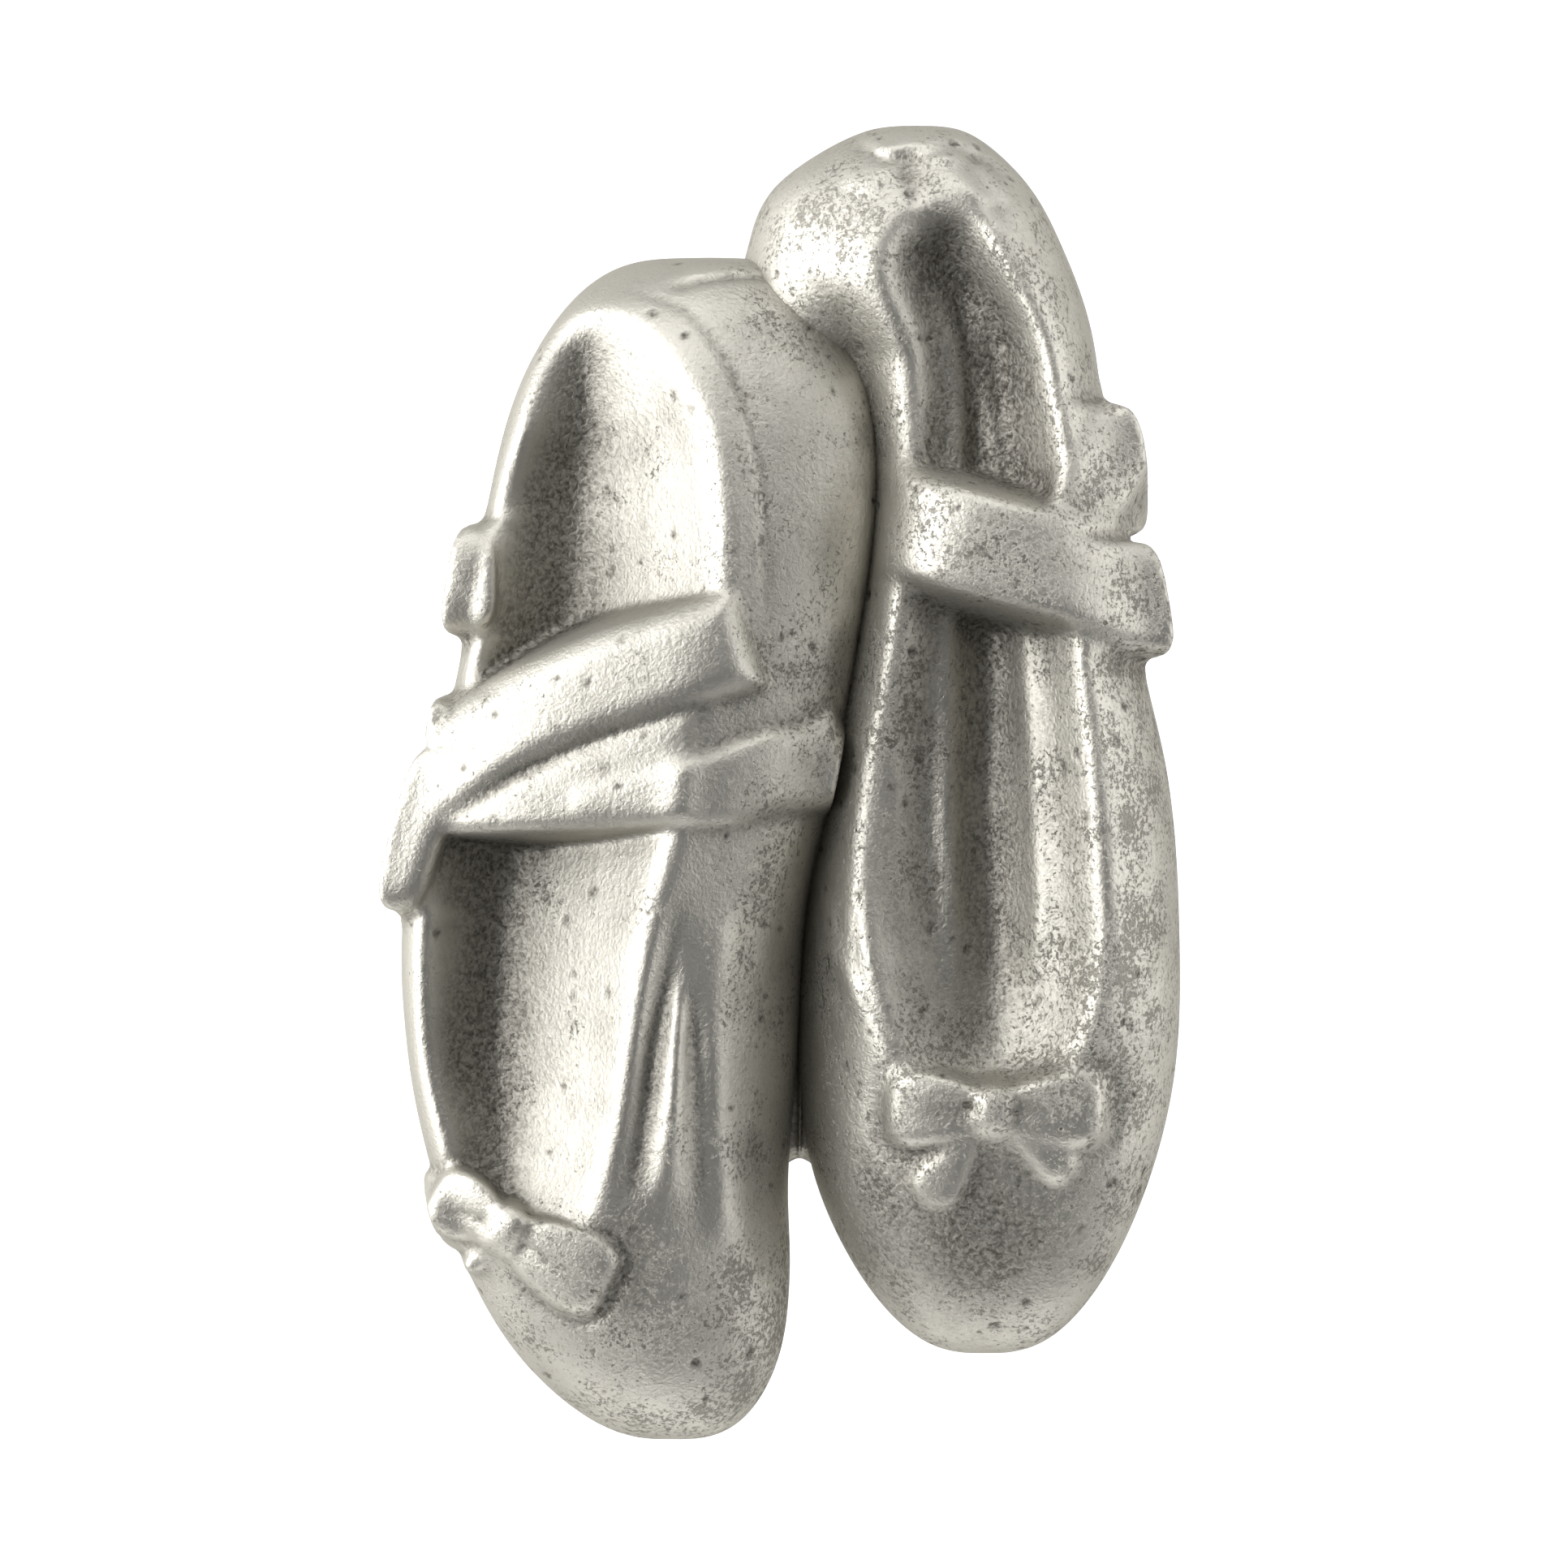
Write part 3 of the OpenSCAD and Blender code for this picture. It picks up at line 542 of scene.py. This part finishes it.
    # relief: beads and grit, strong where the skin is left, then the wheel's fine lines, then the pinholes
    keep = node(t, "ShaderNodeMapRange", Value=skin, To_Min=0.40, To_Max=0.70).outputs[0]
    sand = node(t, "ShaderNodeMath", TIMES, i0=beads, i1=keep).outputs[0]
    drawn = node(t, "ShaderNodeMapping", Vector=place, Scale=(1, 1, 0.06)).outputs[0]
    lines = node(t, "ShaderNodeTexNoise", Vector=drawn, Scale=per(0.3), Detail=3.0).outputs["Fac"]
    beaded = node(t, "ShaderNodeBump", Strength=0.75, Distance=0.09 * MM, Height=sand).outputs[0]
    wheeled = node(t, "ShaderNodeBump", Strength=0.16, Distance=0.05 * MM, Height=lines,
                   Normal=beaded).outputs[0]
    pricked = node(t, "ShaderNodeBump", {"invert": True}, Strength=0.5, Distance=0.08 * MM, Height=pit,
                   Normal=wheeled).outputs[0]
    shader = node(t, "ShaderNodeBsdfPrincipled", Metallic=1.0, Base_Color=holed, Roughness=rough,
                  Normal=pricked, Specular_Tint=tone("#8A8883"))
    node(t, "ShaderNodeOutputMaterial", Surface=shader.outputs[0])
    return mat


pewter = antique_pewter()
left_cast.data.materials.append(pewter)


# --------------------------------------------------------------- right slipper
# The slipper behind, cast in the same pour: narrower in the heel, with the lining's folds showing in the
# hollow, one broad ribbon with another crossing under it, and a bow where the opening ends.
RIGHT_HEEL, RIGHT_LONG = 32.0, 59.8    # mm, as for the left one
RIGHT_SHAPE = (
    (0.000, 0.335, 0.330, 0.78, 0.80, 2.4, 0.0, 0.0),
    (0.045, 0.303, 0.445, 0.80, 0.82, 2.4, 0.0, 0.0),
    (0.100, 0.310, 0.478, 0.83, 0.83, 2.4, 0.0, 0.0),
    (0.160, 0.335, 0.485, 0.85, 0.84, 2.4, 0.0, 0.0),
    (0.230, 0.368, 0.463, 0.86, 0.86, 2.6, 0.0, 0.0),
    (0.440, 0.484, 0.437, 0.86, 0.86, 2.8, 0.0, 0.0),
    (0.520, 0.525, 0.453, 0.86, 0.86, 3.0, 0.1, 0.0),
    (0.660, 0.530, 0.492, 0.85, 0.85, 3.0, 0.1, 0.0),
    (0.790, 0.516, 0.524, 0.80, 0.80, 2.6, 0.0, 0.0),
    (0.860, 0.508, 0.518, 0.78, 0.78, 2.5, 0.0, 0.0),
    (0.935, 0.510, 0.485, 0.76, 0.76, 2.4, 0.0, 0.0),
    (1.000, 0.515, 0.440, 0.74, 0.74, 2.4, 0.0, 0.0),
)
RIGHT_OPENING = (
    (0.070, 0.400, 0.225), (0.115, 0.405, 0.225), (0.180, 0.475, 0.209), (0.250, 0.492, 0.217),
    (0.420, 0.505, 0.242), (0.535, 0.484, 0.302), (0.600, 0.485, 0.322), (0.690, 0.509, 0.336),
    (0.762, 0.514, 0.326), (0.800, 0.520, 0.320),
)
# its back lies a hair above the left one's, so that where they overlap no two faces share a plane
RIGHT_BACK = POST + 0.06
right = Slipper(RIGHT_SHAPE, RIGHT_OPENING, RIGHT_HEEL, RIGHT_LONG, right_wall=False, back=RIGHT_BACK,
                wraps=((1, 8.9, 2.8, 1.6), (1, 15.2, 3.1, 1.6)))
right.h = right.h + 0.60 * np.exp(-((right.q + 0.15) / RIM_WIDE) ** 2)
bowl = right.hollow(deep=5.3, valley=0.10)
right.h = soften(right.h, 3.5)
# the lining lies in long folds down the hollow: each one's line, width and height
for line, wide, high in (
    ([(5.4, 25.6), (6.3, 20.9), (6.4, 17.5), (6.4, 14.0)], 0.5, 1.1),
    ([(7.2, 25.0), (8.4, 19.6), (8.3, 13.0), (8.0, 6.0), (7.9, 0.0), (8.1, -6.0), (8.6, -12.0)], 0.6, 1.1),
    ([(9.2, 23.6), (9.9, 17.6), (10.6, 12.0)], 0.5, 0.9),
    ([(11.4, 9.0), (11.6, 6.5), (12.1, -1.0), (12.3, -6.0), (12.2, -10.0)], 0.55, 1.0),
    ([(5.2, 5.0), (5.3, -2.0), (6.2, -9.0)], 0.6, 0.6),
):
    d, s = right.distance(line)
    fold = high * np.exp(-(d / wide) ** 2) * bowl
    right.h = right.h + fold * np.clip(s / 0.1, 0, 1) * np.clip((1 - s) / 0.2, 0, 1)
right.groove([(10.4, 5.0), (10.1, 0.0), (10.2, -6.0), (10.4, -10.0)], 0.7, 0.35)
right.h = soften(right.h, 1.7)
# a thin line beside the rim, with a raised lip of metal next to it
right.groove([(3.5, -5.0), (3.5, -8.2), (3.9, -9.6), (4.6, -11.3), (5.4, -12.7), (6.0, -13.7)], 0.2, 0.25)
right.groove([(2.0, -5.4), (2.4, -7.9), (3.2, -9.8), (3.7, -11.0)], 0.35, -0.35)
# the heel's gathered top, with the seam below it
right.lump(6.5, 31.0, 6.0, 2.2, -3, 0.85, base=right.skin, fillet=0.6)
right.groove([(3.3, 31.0), (4.7, 30.2), (6.3, 30.2), (8.0, 30.6), (9.5, 30.1), (11.0, 29.0)], 0.3, 0.5)
right.lump(8.6, 29.3, 4.8, 2.0, -28, 0.45, base=right.h.copy(), fillet=0.3)
right.lump(4.3, 29.6, 3.0, 2.0, 30, 0.35, base=right.h.copy(), fillet=0.3)
right.groove([(5.6, 29.8), (6.2, 28.6), (6.4, 27.6)], 0.35, 0.35)
right.groove([(8.6, 30.2), (9.6, 28.8), (10.6, 27.0)], 0.4, 0.35)
# the end of the under ribbon, and the broad ribbon over it
right.ribbon([(14.1, 12.4), (15.0, 14.4), (15.9, 16.2), (16.7, 18.0)], (3.6, 4.0, 3.9, 3.0), 0.75)
right.ribbon([(2.4, 14.0), (4.4, 13.2), (5.8, 12.5), (8.0, 11.8), (10.6, 11.1), (13.1, 10.5), (15.3, 9.8),
              (16.9, 9.1), (19.4, 7.9)], (4.6, 4.9, 5.2, 5.4, 5.4, 5.5, 5.2, 5.1, 4.8), 1.35)
right.bow(10.0, -15.6, 0, (5.2, 4.0), (5.6, 4.0),
          ((-0.9, -1.2, -2.6, -3.6, 0.9, 2.7), (0.9, -1.0, 3.1, -2.6, 0.8, 2.0)), edge=0.14)
# it dips into the groove where the left slipper lies over its side, down to the metal that joins the two, and
# more gently towards the heels
share = np.clip((LEFT_HEEL - right.z) / LEFT_LONG, 0, 1)
clear = right.x - WIDE * along(LEFT_SHAPE, share, 1) - left.half(share)    # mm from the left one's outline
beside = (share > 0) & (share < 1)
reach = 1.1 + 1.3 * np.clip((right.z - 12) / 8, 0, 1)
dip = np.where(beside, 1 - np.exp(-np.maximum(clear + 0.25, 0) / reach), 1)
dip = 1 - (1 - dip) * np.clip((LEFT_HEEL - right.z) / 5, 0, 1)
bed = np.interp(right.z, (-19.5, -17.0, -6.0, 2.0, 24.0), (EDGE, 3.0, 5.0, 7.2, 7.8))
right.h = soften(np.where(right.h > bed, bed + (right.h - bed) * dip, right.h), 2.0)


def right_gassy(x, z):
    """Gas was caught all over it, and most along the right side below the heel."""
    return 0.4 + 0.5 * np.clip((x - 12.5) / 3, 0, 1) * np.clip((24 - z) / 12, 0, 1)


def right_hollow_lightening(b, a):
    """The hollow's darkening is lightened towards its toe, and stays in its narrow heel."""
    return 0.6 * np.clip((a + 0.5) / 0.6, 0, 1)


# the right slipper's spots: painted shade on the toe below the bow, which turns down and away from the lamps,
# and a darker spot left of it
right_cast = right.cast("right_slipper_cast", 7, 150, right_gassy, right_hollow_lightening,
                        dark_spots=((9.4, -22.0, 3.8, 3.0, 0.7), (4.3, -19.5, 1.4, 4.0, 0.35)))
right_cast.data.materials.append(pewter)
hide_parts("right_slipper", "right_binding", "right_cross_ribbon", "right_ribbon_tab", "right_bow")
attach(right_cast, "casting")


# ------------------------------------------------------------------------- web
# The thin metal that joins the two slippers. It filled the bottom of the groove between them when the knob was
# poured, and its fine ridge is where the mould's halves met. It ends in a rounded notch where the toes part.
WEB_TOP, WEB_FOOT = -0.5, -19.2    # mm above the screw
WEB_LIFT = 0.12                    # mm between the left slipper's back and the web's, so they share no plane
ARCH_HIGH, ARCH_HALF = 0.9, 1.1    # mm, the notch
STEPS = 28
# the section: mm from the ridge, and share of the height of the fill
WEB_SECTION = ((-2.2, 0.0), (-2.2, 1.05), (-1.2, 0.86), (-0.5, 0.78), (-0.16, 0.78), (0.0, 0.90), (0.16, 0.78),
               (0.5, 0.78), (1.2, 0.86), (2.2, 1.05), (2.2, 0.0))
web_mesh = bpy.data.meshes.new("web_cast")
bm = bmesh.new()
rings = []
for i in range(STEPS + 1):
    z = WEB_TOP + (WEB_FOOT - WEB_TOP) * i / STEPS
    tall = float(np.interp(z, (WEB_FOOT, WEB_FOOT + 0.7, -16.0, -7.0, WEB_TOP), (1.0, 2.6, 3.4, 4.6, 5.6)))
    middle = float(np.interp(z, (-18.7, -9.2, -3.7, WEB_TOP), (0.75, 0.9, 1.2, 1.9)))
    arch = ARCH_HIGH * max(0.0, i / STEPS - 0.8) / 0.2
    rings.append([bm.verts.new((middle + x, -POST - WEB_LIFT - tall * h,
                                z + arch * max(0.0, 1 - (x / ARCH_HALF) ** 2))) for x, h in WEB_SECTION])
for a, b in zip(rings, rings[1:]):
    bmesh.ops.contextual_create(bm, geom=[a[0], a[1], b[1], b[0]])
    for k in range(1, len(WEB_SECTION) - 1):
        bmesh.ops.contextual_create(bm, geom=[a[k], a[k + 1], b[k + 1], b[k]])
bmesh.ops.holes_fill(bm, edges=[e for e in bm.edges if e.is_boundary], sides=0)
bmesh.ops.recalc_face_normals(bm, faces=bm.faces)
bmesh.ops.subdivide_edges(bm, edges=list(bm.edges), cuts=2, use_grid_fill=True)
bmesh.ops.smooth_vert(bm, verts=[v for v in bm.verts if v.co.y < -POST - 0.5], factor=0.5, use_axis_x=True,
                      use_axis_y=True, use_axis_z=True)
bmesh.ops.scale(bm, verts=bm.verts, vec=(MM, MM, MM))
bm.to_mesh(web_mesh)
bm.free()
for f in web_mesh.polygons:
    f.use_smooth = True
for mark, value in (("recess", 0.15), ("gassy", 0.2)):
    field = web_mesh.attributes.new(mark, "FLOAT", "POINT")
    field.data.foreach_set("value", np.full(len(web_mesh.vertices), value))
web_cast = bpy.data.objects.new("web_cast", web_mesh)
bpy.context.scene.collection.objects.link(web_cast)
web_mesh.materials.append(pewter)
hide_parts("joining_web")
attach(web_cast, "casting")


# ------------------------------------------------------------------------ post
# The round post on the back that stands the slippers off the drawer, cast with them and left as cast: its rear
# face is the only part of the knob that touches the drawer.
post_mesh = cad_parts["mounting_post"].data
post_mesh.materials.clear()
post_mesh.materials.append(pewter)


# ---------------------------------------------------------------------- insert
# A turned brass insert, pressed into the post because pewter is too soft to hold a thread.
def turned_brass():
    """Free-cutting brass as it leaves the lathe: yellow, bright, with the rings that the tool leaves. They are
    drawn about 0.5 mm apart, coarser than real ones, so that they show."""
    mat = bpy.data.materials.new("turned_brass")
    mat.use_nodes = True
    t = mat.node_tree
    t.nodes.clear()
    place = node(t, "ShaderNodeTexCoord").outputs["Object"]
    tool_rings = node(t, "ShaderNodeTexWave", {"wave_type": "RINGS", "rings_direction": "Y"}, Vector=place,
                      Scale=per(1.6), Distortion=0.6, Detail=2.0).outputs["Fac"]
    dull = node(t, "ShaderNodeTexNoise", Vector=place, Scale=per(1.5), Detail=4.0).outputs["Fac"]
    colour = node(t, "ShaderNodeMix", COLOURS, Factor=dull, i6=tone("#D8B25C"), i7=tone("#A98239")).outputs[2]
    rough = node(t, "ShaderNodeMapRange", Value=dull, To_Min=0.22, To_Max=0.4).outputs[0]
    bump = node(t, "ShaderNodeBump", Strength=0.35, Distance=0.02 * MM, Height=tool_rings).outputs[0]
    shader = node(t, "ShaderNodeBsdfPrincipled", Metallic=1.0, Base_Color=colour, Roughness=rough, Normal=bump)
    node(t, "ShaderNodeOutputMaterial", Surface=shader.outputs[0])
    return mat


brass_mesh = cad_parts["threaded_insert"].data
brass_mesh.materials.clear()
brass_mesh.materials.append(turned_brass())


# ----------------------------------------------------------------------- screw
# A machine screw of about 4 mm by 25 mm with a rolled thread and a cross recess, put in from inside the drawer.
# Its place comes from the frame, and its head seats on the washer's far face.
def zinc_plate():
    """Bright zinc over steel: cool grey, half gloss, with a faint cloudiness about 2 mm across and fine rolling
    marks about 0.25 mm apart."""
    mat = bpy.data.materials.new("bright_zinc_plated_steel")
    mat.use_nodes = True
    t = mat.node_tree
    t.nodes.clear()
    place = node(t, "ShaderNodeTexCoord").outputs["Object"]
    cloud = node(t, "ShaderNodeTexNoise", Vector=place, Scale=per(2), Detail=4.0, Roughness=0.6).outputs["Fac"]
    fine = node(t, "ShaderNodeTexNoise", Vector=place, Scale=per(0.25), Detail=3.0).outputs["Fac"]
    colour = node(t, "ShaderNodeMix", COLOURS, Factor=cloud, i6=tone("#CDD0D3"), i7=tone("#9CA0A6")).outputs[2]
    rough = node(t, "ShaderNodeMapRange", Value=cloud, To_Min=0.24, To_Max=0.42).outputs[0]
    bump = node(t, "ShaderNodeBump", Strength=0.3, Distance=0.02 * MM, Height=fine).outputs[0]
    shader = node(t, "ShaderNodeBsdfPrincipled", Metallic=1.0, Base_Color=colour, Roughness=rough, Normal=bump)
    node(t, "ShaderNodeOutputMaterial", Surface=shader.outputs[0])
    return mat


zinc = zinc_plate()
PITCH, THREAD_DEEP, SHANK = 0.79375, 0.42, 2.05    # mm: 32 threads to the inch, their depth, and their radius
THREAD_START, THREAD_SPARE = 0.55, 0.35            # mm left plain at the tip, and spare below the head
TURN_STEPS = 40
screw_low, screw_high = (np.array(c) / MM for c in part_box("mounting_screw"))
washer_low, washer_high = (np.array(c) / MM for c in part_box("washer"))
tip, seat, crown = screw_low[1], washer_high[1], screw_high[1]
head = screw_high[0]    # mm, its radius


def spun(bm, points):
    """An open line of (radius, y) points, spun about the screw's axis and closed at its ends on the axis."""
    verts = [bm.verts.new((r, y, 0)) for r, y in points]
    edges = [bm.edges.new(pair) for pair in zip(verts, verts[1:])]
    bmesh.ops.spin(bm, geom=verts + edges, cent=(0, 0, 0), axis=(0, 1, 0), dvec=(0, 0, 0), angle=2 * math.pi,
                   steps=64, use_merge=True, use_duplicate=False)
    bmesh.ops.remove_doubles(bm, verts=bm.verts, dist=0.001)


# the thread: one turn of a zigzag line, which climbs a pitch as it goes round
bm = bmesh.new()
root, crest = SHANK - THREAD_DEEP, SHANK - 0.02
turns = int((seat - tip - THREAD_START - THREAD_SPARE) / PITCH)
line = []
for k in range(turns):
    y = tip + THREAD_START + k * PITCH
    line += [(root, y), (crest, y + 0.36 * PITCH), (crest, y + 0.50 * PITCH), (root, y + 0.86 * PITCH)]
line.append((root, tip + THREAD_START + turns * PITCH))
verts = [bm.verts.new((r, y, 0)) for r, y in line]
edges = [bm.edges.new(pair) for pair in zip(verts, verts[1:])]
bmesh.ops.spin(bm, geom=verts + edges, cent=(0, 0, 0), axis=(0, 1, 0), dvec=(0, PITCH / TURN_STEPS, 0),
               angle=2 * math.pi, steps=TURN_STEPS, use_merge=False, use_duplicate=False)
bmesh.ops.remove_doubles(bm, verts=bm.verts, dist=0.002)
bmesh.ops.holes_fill(bm, edges=[e for e in bm.edges if e.is_boundary], sides=0)
bmesh.ops.recalc_face_normals(bm, faces=bm.faces)
# the core, with its chamfered point, the plain neck and the pan head
core, neck = root - 0.02, SHANK - 0.1
spun(bm, [(0, tip), (core - 0.5, tip), (core, tip + 0.5), (core, seat - 1.0), (neck, seat - 0.7), (neck, seat),
          (head - 0.25, seat), (head - 0.05, seat + 0.12), (head, seat + 0.35), (head, seat + 0.95),
          (head * 0.97, seat + 1.3), (head * 0.88, seat + 1.75), (head * 0.70, seat + 2.1),
          (head * 0.4, crown - 0.04), (0, crown)])
bmesh.ops.recalc_face_normals(bm, faces=bm.faces)
bmesh.ops.scale(bm, verts=bm.verts, vec=(MM, MM, MM))
screw_mesh = bpy.data.meshes.new("machine_screw")
bm.to_mesh(screw_mesh)
bm.free()
screw = bpy.data.objects.new("machine_screw", screw_mesh)
bpy.context.scene.collection.objects.link(screw)
# the cross recess, cut with a cross that narrows as it goes in
BAR_WIDE, BAR_DEEP, BAR_LONG, BAR_SUNK = 1.05, 1.9, 4.6, 0.5    # mm; sunk is from the crown to its middle
NARROWED = 0.55    # share of its width that is left at the bottom
bm = bmesh.new()
for turn in (0, 90):
    bar = bmesh.ops.create_cube(bm, size=1.0)["verts"]
    for v in bar:
        narrow = NARROWED if v.co.y < 0 else 1.0
        v.co = Vector((v.co.x * BAR_WIDE * narrow, v.co.y * BAR_DEEP, v.co.z * BAR_LONG * narrow))
    bmesh.ops.rotate(bm, verts=bar, cent=(0, 0, 0), matrix=Matrix.Rotation(math.radians(turn), 3, "Y"))
    bmesh.ops.translate(bm, verts=bar, vec=(0, crown - BAR_SUNK, 0))
bmesh.ops.scale(bm, verts=bm.verts, vec=(MM, MM, MM))
bit_mesh = bpy.data.meshes.new("cross_bit")
bm.to_mesh(bit_mesh)
bm.free()
bit = bpy.data.objects.new("cross_bit", bit_mesh)
bpy.context.scene.collection.objects.link(bit)
cut = screw.modifiers.new("cross recess", "BOOLEAN")
cut.object, cut.solver, cut.use_self = bit, "EXACT", True
done = bpy.data.meshes.new_from_object(screw.evaluated_get(bpy.context.evaluated_depsgraph_get()))
screw.modifiers.clear()
screw.data = done
done.name = "machine_screw"
bpy.data.objects.remove(bit)
bpy.data.meshes.remove(bit_mesh)
bpy.data.meshes.remove(screw_mesh)
done.materials.clear()
done.materials.append(zinc)
for f in done.polygons:
    f.use_smooth = True
done.set_sharp_from_angle(angle=math.radians(38))
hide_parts("mounting_screw")
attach(screw, "screw")


# ---------------------------------------------------------------------- washer
# A flat washer, blanked from zinc-plated steel, which spreads the screw's load on the inside of the drawer. The
# punch rounds its edge on one side.
BORE = 2.3    # mm, radius
washer_mesh = bpy.data.meshes.new("flat_washer")
bm = bmesh.new()
near, far, rim = washer_low[1], washer_high[1], washer_high[0]
verts = [bm.verts.new((r, y, 0)) for r, y in (
    (BORE, near + 0.05), (BORE + 0.05, near), (rim - 0.05, near), (rim, near + 0.05), (rim, far - 0.25),
    (rim - 0.07, far - 0.08), (rim - 0.25, far), (BORE + 0.18, far), (BORE + 0.05, far - 0.06),
    (BORE, far - 0.2))]
edges = [bm.edges.new(pair) for pair in zip(verts, verts[1:] + verts[:1])]
bmesh.ops.spin(bm, geom=verts + edges, cent=(0, 0, 0), axis=(0, 1, 0), dvec=(0, 0, 0), angle=2 * math.pi,
               steps=96, use_merge=True, use_duplicate=False)
bmesh.ops.remove_doubles(bm, verts=bm.verts, dist=0.001)
bmesh.ops.recalc_face_normals(bm, faces=bm.faces)
bmesh.ops.scale(bm, verts=bm.verts, vec=(MM, MM, MM))
bm.to_mesh(washer_mesh)
bm.free()
for f in washer_mesh.polygons:
    f.use_smooth = True
washer_mesh.set_sharp_from_angle(angle=math.radians(50))
washer_mesh.materials.append(zinc)
washer = bpy.data.objects.new("flat_washer", washer_mesh)
bpy.context.scene.collection.objects.link(washer)
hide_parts("washer")
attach(washer, "washer")


# ---------------------------------------------------------------------- studio
# A white sweep well behind the knob and five soft lamps, as for a catalogue: the strongest at the left, weaker
# ones above, at the right and below, and a small fill from the front. The room itself is dim and grey.
SWEEP_SIZE, SWEEP_BEHIND = 4.0, 1.6    # metres
sheet_mesh = bpy.data.meshes.new("studio_sweep")
bm = bmesh.new()
bmesh.ops.create_grid(bm, x_segments=1, y_segments=1, size=SWEEP_SIZE,
                      matrix=Matrix.Rotation(math.radians(90), 4, "X"))
bmesh.ops.translate(bm, verts=bm.verts, vec=(0, SWEEP_BEHIND, 0))
bm.to_mesh(sheet_mesh)
bm.free()
sweep = bpy.data.objects.new("studio_sweep", sheet_mesh)
bpy.context.scene.collection.objects.link(sweep)
paper = bpy.data.materials.new("white_paper_sweep")
paper.use_nodes = True
sheet = paper.node_tree.nodes["Principled BSDF"].inputs
sheet["Base Color"].default_value = tone("#FFFFFF")
sheet["Roughness"].default_value = 0.9
sheet["Emission Color"].default_value = tone("#FFFFFF")
sheet["Emission Strength"].default_value = 0.9
sheet_mesh.materials.append(paper)


def lamp(name, at, wide, tall, watts, towards=(0, -0.018, 0)):
    """A soft lamp with a face of wide by tall metres, turned towards the front of the knob."""
    light = bpy.data.lights.new(name, "AREA")
    light.shape, light.size, light.size_y, light.energy = "RECTANGLE", wide, tall, watts
    holder = bpy.data.objects.new(name, light)
    holder.location = at
    holder.rotation_euler = (Vector(towards) - Vector(at)).to_track_quat("-Z", "Y").to_euler()
    bpy.context.scene.collection.objects.link(holder)


lamp("left_softbox", (-0.64, -0.20, 0.06), 1.0, 0.9, 11)
lamp("front_left_fill", (-0.45, -0.75, 0.25), 0.4, 0.6, 2.0)
lamp("top_softbox", (0.05, -0.30, 0.7), 0.9, 0.5, 3.0)
lamp("right_strip", (0.70, -0.05, 0.05), 0.5, 0.9, 3)
lamp("floor_bounce", (0.0, 0.10, -0.70), 0.9, 0.35, 2.0)
world = bpy.data.worlds.new("dim_studio")
world.use_nodes = True
room = world.node_tree
backdrop = room.nodes["Background"].inputs
backdrop["Color"].default_value = tone("#C8C8CA")
# the room is lighter round the sides and above than low down in front, where the floor is dark
towards = node(room, "ShaderNodeTexCoord").outputs["Generated"]
way = node(room, "ShaderNodeSeparateXYZ", Vector=towards)
height = node(room, "ShaderNodeMath", TIMES_PLUS, i0=way.outputs["Z"], i1=0.45, i2=way.outputs["Y"]).outputs[0]
strength = node(room, "ShaderNodeMapRange", GRADUAL, Value=height, From_Min=-1.1, From_Max=0.0, To_Min=0.14,
                To_Max=0.52).outputs[0]
room.links.new(strength, backdrop["Strength"])
bpy.context.scene.world = world
bpy.context.scene.view_settings.view_transform = "Standard"

VIEW_WIDE = 76.4       # mm across the view, at VIEW_DEPTH
VIEW_DEPTH = 0.010     # metres in front of the drawer, just proud of the casting's flat back
DISTANCE = 0.55        # metres from the drawer front to the camera
camera = bpy.data.cameras.new("camera")
camera.sensor_width = 36
camera.lens = 36 * (DISTANCE - VIEW_DEPTH) / (VIEW_WIDE * MM)
camera.clip_start = 0.01
eye = bpy.data.objects.new("camera", camera)
eye.location = (0, -DISTANCE, 0)
eye.rotation_euler = (math.radians(90), 0, 0)
bpy.context.scene.collection.objects.link(eye)
bpy.context.scene.camera = eye
